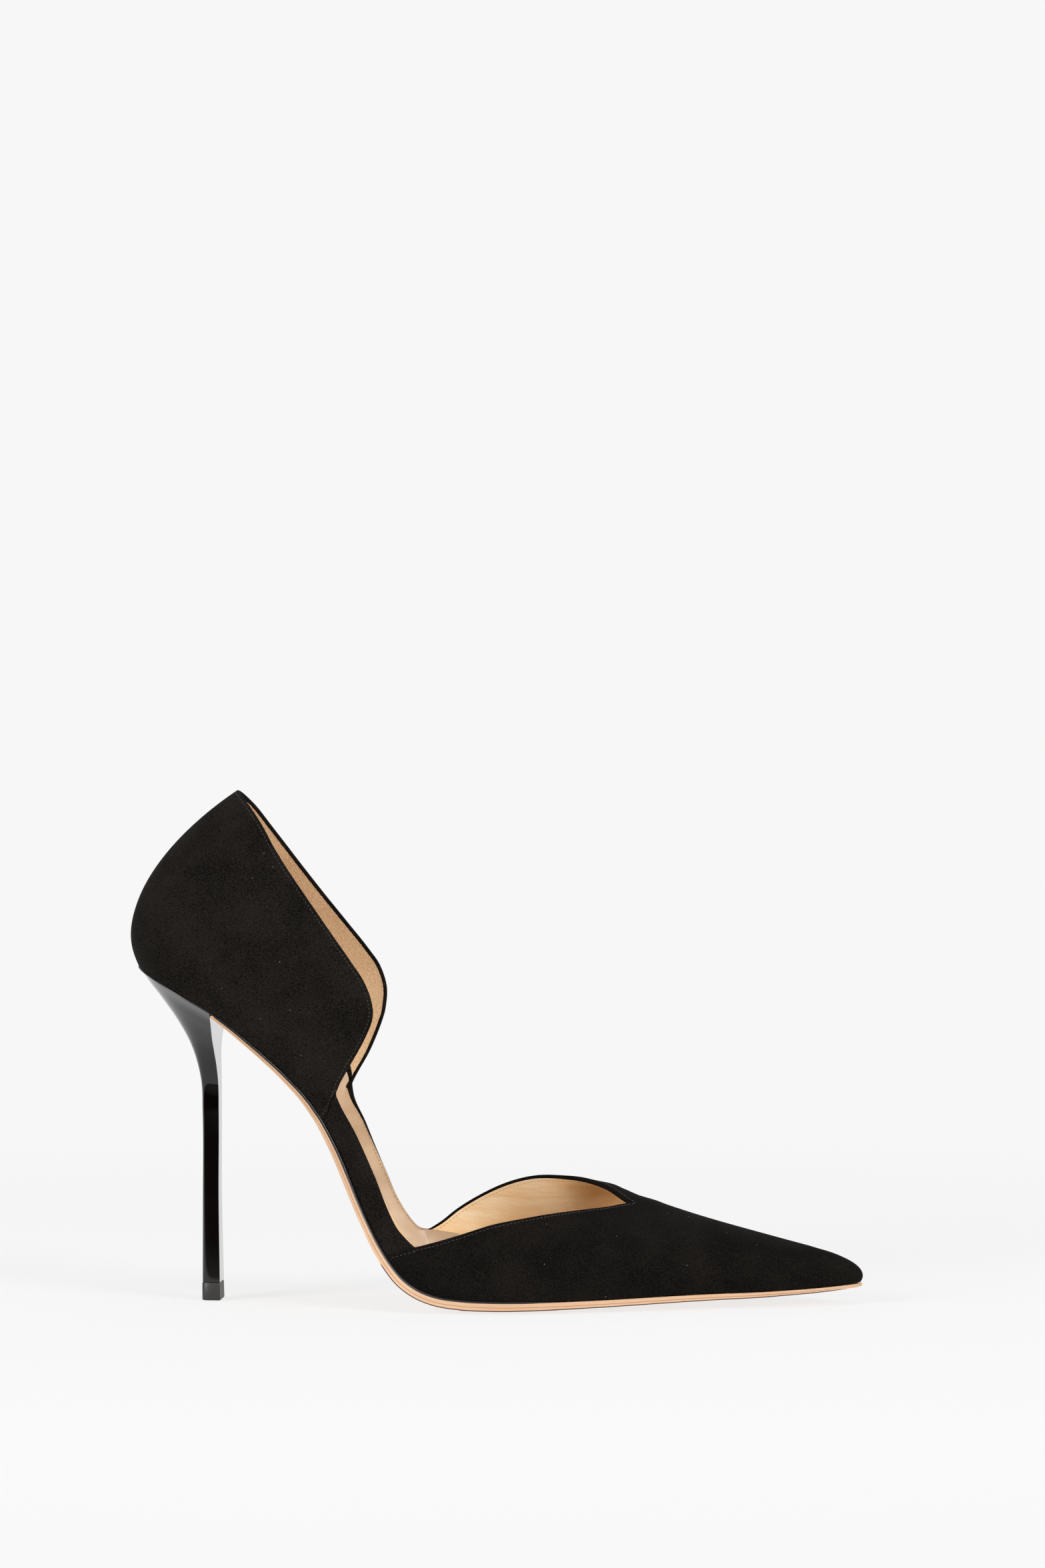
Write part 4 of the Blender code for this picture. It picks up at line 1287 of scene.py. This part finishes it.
# %% Sewing a row along a path
def sew(name, points, finish, pitch=1.3, thread=0.11, span=0.42, slot="suede"):
    """Lay stitches of a pitch, a thread radius and a half length, all in mm."""
    path = bpy.data.meshes.new(name)
    places = place_points(points)
    path.from_pydata([tuple(p) for p in places],
                     [(k, k + 1) for k in range(len(places) - 1)], [])
    row = bpy.data.objects.new(name, path)
    bpy.context.scene.collection.objects.link(row)
    sewn = row.modifiers.new("Stitches", "NODES")
    sewn.node_group = STITCH_TREE
    sockets = {item.name: item.identifier
               for item in STITCH_TREE.interface.items_tree
               if item.in_out == "INPUT"}
    for label, value in (("Pitch", pitch * MM), ("Thread", thread * MM),
                         ("Span", span * MM), ("Finish", finish)):
        sewn[sockets[label]] = value
    view = bpy.context.evaluated_depsgraph_get()
    made = bpy.data.meshes.new_from_object(row.evaluated_get(view))
    row.modifiers.remove(sewn)
    row.data = made
    for face in made.polygons:
        face.use_smooth = True
    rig.ride(row, "root")
    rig.slot(row, slot)
    print(f"{name}: {len(made.polygons)} faces of thread")
    return row


def thread_material(name, colour, sheen):
    """Twisted polyester thread with a soft lustre."""
    return new_material(name, Base__Color=linear(colour), Roughness=0.55,
                        Sheen__Weight=sheen, Sheen__Roughness=0.4)[0]


# Black: just lighter than the suede. Tan and pale: rows that nearly vanish.
BLACK_THREAD = thread_material("black_thread", "332E2A", 0.3)
TAN_THREAD = thread_material("tan_thread", "A87C4E", 0.1)
PALE_THREAD = thread_material("pale_thread", "E6D2B4", 0.1)

# %% [markdown]
# ## Rows that keep their distance from the edge
#
# A sewing machine's guide runs along the edge, so a row is a line of equal
# distance from it. For each station the row's height is found from the same
# distance function that shaped the fold.


# %% Lines at a set distance from the top edge
def line_below(side, first, final, distance, depth, step=0.8):
    """Points a set distance below the top edge, at a depth in the leather."""
    u = spaced(first, final, step)
    v = np.array([rows_by_distance(side, s, (distance,))[0] for s in u])
    return sunk(side, u, v, np.full(len(u), depth))


def round_line(first, distance, depth):
    """The same line from one side round the heel or the throat to the other."""
    left = line_below(-1, 0.0, first, distance, depth)
    right = line_below(1, 0.0, first, distance, depth)
    return np.concatenate([left[::-1], right[1:]])


# Threads are pulled into the leather: their middle lies just under its face.
# Rows keep 0.9 to 1.7 mm from an edge, as the presser foot sets them.
BITE = 0.03
sew("quarter_edge_stitch", round_line(SEAM - 1.0, 1.2, BITE), BLACK_THREAD)
sew("quarter_lining_stitch", round_line(SEAM - 1.0, QUARTER_BAND + 0.1,
                                        QUARTER_THICK - BITE),
    PALE_THREAD, pitch=1.7, thread=0.1, span=0.3, slot="sock_leather")
for side, word in SIDES:
    sew(f"vamp_{word}_edge_stitch",
        line_below(side, VAMP_RIM + 1.6, closing(1.4), 1.4, BITE), BLACK_THREAD)
    sew(f"vamp_{word}_lining_stitch",
        line_below(side, VAMP_RIM + 2.0, NOTCH - 2.0, 1.7, VAMP_THICK - 0.04),
        TAN_THREAD, thread=0.09, slot="sock_leather")
    sew(f"strip_{word}_lining_stitch",
        line_below(side, SEAM + 10.0, VAMP_RIM - 2.0, 0.9, STRIP_INSIDE - 0.04),
        TAN_THREAD, thread=0.09, slot="sock_leather")
    v = np.linspace(0.03, 0.93, 40)
    sew(f"quarter_{word}_seam_stitch",
        sunk(side, np.full(40, SEAM - 1.2), v, np.full(40, BITE)), BLACK_THREAD)
    u, v = level_line(1.6, VAMP_FOOT + 3.0, VAMP_RIM + 1.6)
    sew(f"vamp_{word}_seam_stitch", sunk(side, u, v, np.full(60, BITE)),
        BLACK_THREAD)

# %% [markdown]
# ## Sock and outsole
#
# Across the bottom, both pieces follow the line from one bottom edge to the
# other. The outsole is thin at its trimmed edge, full under the foot, and flat
# where it has been worn in by standing. The sock is one smooth piece of leather
# with a rounded rim.

# %% Points across the bottom
# The tread, which rests on the floor, runs between these two stations.
TREAD = (at("outer ball"), at("throat"))


def across(where, margin, lift, count):
    """Grid across the bottom: stations by shares, lifted by a function.

    Points crowd together towards both edges. Where the two edges meet, at heel
    and toe, a whole row falls on one point and takes the height of the edge.
    """
    up, out_a = axes(-1, where)
    out_b = axes(1, where)[1]
    a = foot(-1, where) - out_a * margin
    b = foot(1, where) - out_b * margin
    share = 0.5 - 0.5 * np.cos(np.pi * np.linspace(0.0, 1.0, count + 1))
    s = share[None, :, None]
    edge = np.abs(2.0 * share - 1.0)[None, :]
    height = lift(np.repeat(edge, len(where), 0), where[:, None])
    flat = a[:, None] * (1.0 - s) + b[:, None] * s
    meet = np.linalg.norm(a - b, axis=1) < 0.05
    flat[meet] = a[meet][:, None]
    height[meet] = lift(np.ones((meet.sum(), count + 1)), where[meet][:, None])
    return flat + up[:, None] * height[..., None]


def bottom_sheet(name, where, margin, top, under, count, finish, node_name, slot):
    """A closed sheet between two height functions."""
    a = across(where, margin, top, count)
    b = across(where, margin, under, count)
    b[..., 2] = np.maximum(b[..., 2], 0.0)
    bm = bmesh.new()
    grids = sheet_mesh(bm, a, b)
    bridge(bm, *grids, ("foot", "top", "first", "last"))
    return finish_piece(name, bm, [finish], (node_name,), slot, weld=0.00002)


# %% Sock
# The sock reaches the lining all round, further out than the solid's edge.
SOCK_MARGIN = 0.6


def sock_top(edge, where):
    """Upper face of the sock: 2 mm up, and rounded down by 0.3 at its rim."""
    return 2.0 - 0.3 * np.clip((edge - 0.97) / 0.03, 0.0, 1.0) ** 2


bottom_sheet("sock_sheet", np.linspace(0.0, END, 260), SOCK_MARGIN, sock_top,
             lambda edge, where: edge * 0.0, 40, SOCK_LEATHER, "insole",
             "sock_leather")


# %% Outsole
# Shares of the half width: the middle is full up to the first, and the flat of
# the tread ends between the others. The waist grows over WAIST_RUN, in mm.
FULL_TO, FLAT_TO, FLAT_END, WAIST_RUN = 0.6, 0.76, 0.86, 30.0


def sole_under(edge, where):
    """Underside of the outsole: trimmed edge, full middle, flat tread."""
    shape = where.shape
    rim_depth = column(SOLE, 1, where.ravel()).reshape(shape)
    deep = column(SOLE, 2, where.ravel()).reshape(shape)
    full = 1.0 - np.clip((edge - FULL_TO) / (1.0 - FULL_TO), 0.0, 1.0) ** 2
    waist = np.clip((TREAD[0] - where) / WAIST_RUN, 0.0, 1.0)
    full = full * (1.0 - waist) + (1.0 - edge ** 2.5) * waist
    curved = -GAP - rim_depth - (deep - GAP - rim_depth) * full
    middle = ((foot(-1, where.ravel()) + foot(1, where.ravel()))[:, 2] / 2
              ).reshape(shape)
    tread = (fade(TREAD[0] - 3.0, TREAD[0], where)
             * (1.0 - fade(TREAD[1], TREAD[1] + 3.0, where))
             * (1.0 - fade(FLAT_TO, FLAT_END, edge)))
    return curved * (1.0 - tread) - middle * tread


# The sole starts 1.2 mm ahead of the breast's section, clear of the heel.
BREAST = at("breast") + 1.2
bottom_sheet("outsole_sheet", np.linspace(BREAST, END, 240), -SOLE_MARGIN,
             lambda edge, where: -GAP + edge * 0.0, sole_under, 56,
             SOLE_LEATHER, "outsole", "sole_leather")

# %% [markdown]
# ## Lines along the bottom edge
#
# The joint between upper and sole is inked black and burnished with a hot iron,
# which leaves a thin glossy line. It fades out below the throat, and round the
# heel it fills the joint over the seat. The sole's own edge has a scorched groove
# in its middle, and below it a dark corner line: painted shadow, the contact
# shadow under the edge. A texture would need a map of the whole edge, so each
# line is swept as a flat oval cord.

# %% Cords along the bottom edge
# Lengths over which a cord's height grows and dies away, and its half width.
GROW, DIE, HALF_WIDE, CORD_SIDES = 2.0, 14.0, 0.3, 16


def build_cord(name, side, ends, tall, low, tuck, finish, slot):
    """One oval cord along the bottom edge, thinned out at its ends.

    Its height and how low its middle sits are functions of the place along the
    shoe. The tuck is how far its middle lies inside the sole's edge.
    """
    where = np.linspace(*ends, 420)
    up, out = axes(side, where)
    x = foot(side, where)[:, 0]
    starts = fade(ends[0], ends[0] + GROW, where) if ends[0] > 0.0 else 1.0
    tall = (tall(x) * fade(ends[1], ends[1] - DIE, where)
            * starts).clip(0.02, None)[:, None]
    centre = (foot(side, where) + out * (SOLE_MARGIN - tuck)
              - up * low(x, where)[:, None])
    turn = np.linspace(0.0, 2.0 * math.pi, CORD_SIDES + 1)[:-1][None, :, None]
    ring = (centre[:, None] + up[:, None] * np.sin(turn) * tall[:, None] / 2
            + out[:, None] * np.cos(turn) * HALF_WIDE * np.minimum(
                tall[:, None], 1.0))
    ring[..., 2] = np.maximum(ring[..., 2], 0.0)
    bm = bmesh.new()
    verts = [[bm.verts.new(p) for p in place_points(row)] for row in ring]
    for a, b in zip(verts, verts[1:]):
        for k in range(CORD_SIDES):
            n = (k + 1) % CORD_SIDES
            bm.faces.new((a[k], b[k], b[n], a[n]))
    bm.faces.new(verts[0])
    bm.faces.new(verts[-1])
    return finish_piece(name, bm, [finish], None, slot, weld=0.0000005)


def station(x):
    """Station where the outer bottom edge passes a place along the shoe."""
    return float(np.interp(x, foot(-1, FINE)[:, 0], FINE))


# Height of the inked line, and how low its middle sits, along the shoe.
INK_PLACES = (-95.0, -57.0, -20.0, 5.0)
INK_TALL = (0.75, 0.8, 0.8, 0.65)
INK_LOW = (0.1, 0.2, 0.2, 0.15)
INK_START, INK_END = BREAST - 0.4, station(24.0)
# The seat's line and the groove have one height; the corner line sits lowest.
SEAT_TALL, GROOVE_TALL, CORNER_TALL = 0.5, 0.18, 0.34
for side, word in SIDES:
    build_cord(f"inked_line_{word}", side, (INK_START, INK_END),
               lambda x: np.interp(x, INK_PLACES, INK_TALL),
               lambda x, where: np.interp(x, INK_PLACES, INK_LOW), 0.1,
               EDGE_INK, "gloss_cover")
    build_cord(f"inked_seat_{word}", side, (0.0, INK_START + 12.0),
               lambda x: x * 0.0 + SEAT_TALL,
               lambda x, where: x * 0.0 + 0.15, SOLE_MARGIN,
               EDGE_INK, "gloss_cover")
    build_cord(f"sole_edge_groove_{word}", side, (INK_START, END - 4.0),
               lambda x: x * 0.0 + GROOVE_TALL,
               lambda x, where: GAP + 0.55 * column(SOLE, 1, where), 0.0,
               EDGE_GROOVE, "sole_leather")
    # Painted shadow: a dark line along the sole's bottom corner, standing in for the contact shadow under its edge.
    build_cord(f"sole_corner_painted_shadow_{word}", side, (station(-34.0), END - 1.0),
               lambda x: x * 0.0 + CORNER_TALL,
               lambda x, where: GAP + column(SOLE, 1, where) - 0.05, 0.04,
               SOLE_CORNER_SHADOW, "sole_leather")

# %% [markdown]
# ## Heel and top piece
#
# The stiletto is moulded round a steel pin: a flat breast in front, a round
# back, and a stem that thins to the top piece. Its sections are the same
# superellipses as in the solid, taken about every 0.8 mm. The top piece is cut a
# little smaller than the stem's foot at both faces, so a fine line shows.


# %% Sections of the heel
def heel_loops(rows, shares, around=72, inset=None):
    """Loops of a stack of sections at shares of its length."""
    table = np.array([row[1:] for row in rows], float)
    run = np.concatenate([[0.0], np.cumsum([
        math.dist(a[2:4], b[2:4]) for a, b in zip(table, table[1:])])])
    loops = []
    angle = np.pi * np.arange(around + 1) / around
    for n, share in enumerate(shares):
        fx, fz, bx, bz, half, power = (
            float(smooth(run, table[:, c], share * run[-1])[0]) for c in range(6))
        cut = inset[n] if inset else 0.0
        fx, bx, half = fx - cut, bx + cut, half - cut
        depth = np.abs(np.sin(angle)) ** (2.0 / power)
        sideways = np.sign(np.cos(angle)) * np.abs(np.cos(angle)) ** (2.0 / power)
        loops.append(np.stack([fx + (bx - fx) * depth, -half * sideways,
                               fz + (bz - fz) * depth], -1))
    return loops


def stack(name, loops, finishes, node_name, slot):
    """A closed piece; the flat front takes the second finish, if there is one."""
    bm = bmesh.new()
    rings = [[bm.verts.new(p) for p in place_points(loop)] for loop in loops]
    last = len(rings[0]) - 1
    for a, b in zip(rings, rings[1:]):
        for k in range(last + 1):
            n = (k + 1) % (last + 1)
            face = bm.faces.new((a[k], a[n], b[n], b[k]))
            face.material_index = len(finishes) - 1 if k == last else 0
    bm.faces.new(rings[0])
    bm.faces.new(list(reversed(rings[-1])))
    return finish_piece(name, bm, finishes, (node_name,), slot, weld=0.0000005)


# The upper is pulled down hard on the heel. A lip of about a third of a loop's
# step, which carries on the heel's flare, closes the joint.
LIP = 0.35
loops = heel_loops(HEEL, np.linspace(0.0, 1.0, 130))
loops.insert(0, loops[0] + (loops[0] - loops[1]) * LIP)
stack("heel_shell", loops, [HEEL_LACQUER, BREAST_LACQUER], "heel", "gloss_cover")
stack("top_piece_lift", heel_loops(
    TOP_PIECE, (0.0, 0.06, 0.94, 1.0), inset=(0.2, 0.03, 0.03, 0.2)),
    [HARD_RUBBER], "heel_top_piece", "top_piece")

# %% [markdown]
# ## A pale floor and soft light
#
# The photo has no horizon: a lit sweep with almost no shadow. The floor glows by
# itself and is matt by a sixth only, so a faint shadow is left, and it fades into
# the same white as the backdrop. Two big soft lamps stand beside the camera, a
# little above the shoe, and a weak one hangs overhead. What the shoe mirrors is
# a dark room, which keeps the lacquered heel black.


# %% Floor and backdrop
# WHITE shows as 247 of 255. FLOOR_LIGHT is what the lamps give a white matt floor:
# the glow is less by the matt share of it, so the whole floor stays one white.
WHITE, FLOOR_LIGHT = 0.930, 1.10


def glowing(name, level, matt_share, near, far, front):
    """A surface that glows, and is partly matt up to near and no more at far.

    Only the camera sees it glow in front of the place called front.
    """
    made = bpy.data.materials.new(name)
    made.use_nodes = True
    tree = made.node_tree
    tree.nodes.clear()
    place = node(tree, "ShaderNodeTexCoord").outputs["Object"]
    away = node(tree, "ShaderNodeVectorMath", {"operation": "LENGTH"},
                _0=place).outputs["Value"]
    share = node(tree, "ShaderNodeMapRange", {"interpolation_type": "SMOOTHSTEP"},
                 Value=away, _1=near, _2=far, _3=matt_share, _4=0.0).outputs[0]
    matt = node(tree, "ShaderNodeBsdfDiffuse", Color=(1.0, 1.0, 1.0, 1.0))
    empty = node(tree, "ShaderNodeBsdfDiffuse", Color=(0.0, 0.0, 0.0, 1.0))
    mixed = node(tree, "ShaderNodeMixShader", Fac=share,
                 _1=empty.outputs[0], _2=matt.outputs[0]).outputs[0]
    glow_level = node(tree, "ShaderNodeMath", {"operation": "MULTIPLY_ADD"},
                      _0=share, _1=-FLOOR_LIGHT, _2=level).outputs[0]
    # For all else the glowing sheet ends in front of the shoe: the lacquer
    # mirrors darkness beyond it, while the camera still sees an endless floor.
    ahead = node(tree, "ShaderNodeSeparateXYZ", _0=place).outputs["Y"]
    sheet = node(tree, "ShaderNodeMapRange", Value=ahead, _1=front - 0.01,
                 _2=front, _3=0.0, _4=1.0).outputs[0]
    seen = node(tree, "ShaderNodeLightPath").outputs["Is Camera Ray"]
    lit = node(tree, "ShaderNodeMath", {"operation": "MAXIMUM"},
               _0=sheet, _1=seen).outputs[0]
    shown = node(tree, "ShaderNodeMath", {"operation": "MULTIPLY"},
                 _0=glow_level, _1=lit).outputs[0]
    glow = node(tree, "ShaderNodeEmission", Strength=shown).outputs[0]
    both = node(tree, "ShaderNodeAddShader", _0=mixed, _1=glow).outputs[0]
    node(tree, "ShaderNodeOutputMaterial", Surface=both)
    return made


def card(name, centre, width, height, upright, finish):
    """A flat stage piece, lying or standing."""
    mesh = bpy.data.meshes.new(name)
    w, h = width / 2, height / 2
    corners = [(-w, -h), (w, -h), (w, h), (-w, h)]
    mesh.from_pydata([(x, 0.0, y) if upright else (x, y, 0.0)
                      for x, y in corners], [], [(0, 1, 2, 3)])
    mesh.materials.append(finish)
    made = bpy.data.objects.new(name, mesh)
    made.location = centre
    bpy.context.scene.collection.objects.link(made)
    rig.stage(made)
    return made


card("floor", (0.0, 0.0, -0.0002), 24.0, 24.0, False,
     glowing("pale_floor", WHITE, matt_share=0.16, near=0.18, far=0.75,
             front=-0.17))
card("backdrop", (0.0, 6.0, 2.0), 24.0, 12.0, True,
     glowing("pale_backdrop", WHITE, matt_share=0.0, near=1.0, far=2.0,
             front=-1.0))
print("floor and backdrop of level", WHITE)


# %% Soft lamps
AIM = (0.0, 0.0, 0.06)
# Name, place in m, size in m and power in W.
LAMPS = (
    ("left_lamp", (-1.45, -1.25, 0.75), 0.9, 40.0),
    ("right_lamp", (1.55, -1.15, 0.75), 0.9, 40.0),
    ("top_lamp", (0.0, -0.1, 1.7), 1.4, 10.0),
)


def lamp(name, place, size, power):
    """A square area lamp that points at the shoe's middle."""
    data = bpy.data.lights.new(name, "AREA")
    data.shape = "SQUARE"
    data.size = size
    data.energy = power
    made = bpy.data.objects.new(name, data)
    made.location = place
    made.rotation_euler = (Vector(AIM) - Vector(place)).to_track_quat(
        "-Z", "Y").to_euler()
    bpy.context.scene.collection.objects.link(made)
    return made


for name, place, size, power in LAMPS:
    lamp(name, place, size, power)
print("lamps:", len(LAMPS))

# %% A room that the camera sees white and the shoe sees dark
DARK_ROOM = 0.024
scene = bpy.context.scene
room = bpy.data.worlds.new("soft_studio")
scene.world = room
room.use_nodes = True
room_tree = room.node_tree
room_tree.nodes.clear()
eye = node(room_tree, "ShaderNodeLightPath").outputs["Is Camera Ray"]
level = node(room_tree, "ShaderNodeMapRange", Value=eye,
             _1=0.0, _2=1.0, _3=DARK_ROOM, _4=WHITE).outputs[0]
air = node(room_tree, "ShaderNodeBackground", Color=(1.0, 1.0, 1.0, 1.0),
           Strength=level).outputs[0]
node(room_tree, "ShaderNodeOutputWorld", Surface=air)
print("room level for reflections:", DARK_ROOM)

# %% [markdown]
# ## Camera
#
# The photo was taken level, from far away with a long lens, a few degrees off
# the shoe's side. The lens and place were found by matching known points. The
# Standard view keeps the pale floor pale, where a film-like curve would grey it.

# %% Camera and view
# Lens in mm, place in m, and the turn towards the toe.
LENS, EYE_PLACE, EYE_TURN = 155.29, (0.11229, -1.47661, 0.16975), math.radians(4.0)
eye_data = bpy.data.cameras.new("photo_camera")
eye_data.sensor_fit = "HORIZONTAL"
eye_data.sensor_width = 36.0
eye_data.lens = LENS
camera = bpy.data.objects.new("photo_camera", eye_data)
camera.location = EYE_PLACE
camera.rotation_euler = (math.radians(90.0), 0.0, EYE_TURN)
scene.collection.objects.link(camera)
scene.camera = camera
scene.view_settings.view_transform = "Standard"
print("lens:", LENS, "mm")

# %% Sizes for the record
def plain(value):
    """Bounds as plain lists of numbers."""
    if isinstance(value, dict):
        return {key: plain(item) for key, item in value.items()}
    if isinstance(value, (int, float, str)) or value is None:
        return value
    return [plain(item) for item in value]


SCENE_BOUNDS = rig.bounds()
with open("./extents.json", "w") as out_file:
    json.dump([plain(CAD_BOUNDS), plain(SCENE_BOUNDS)], out_file)
print("frame:", plain(CAD_BOUNDS))
print("scene:", plain(SCENE_BOUNDS))
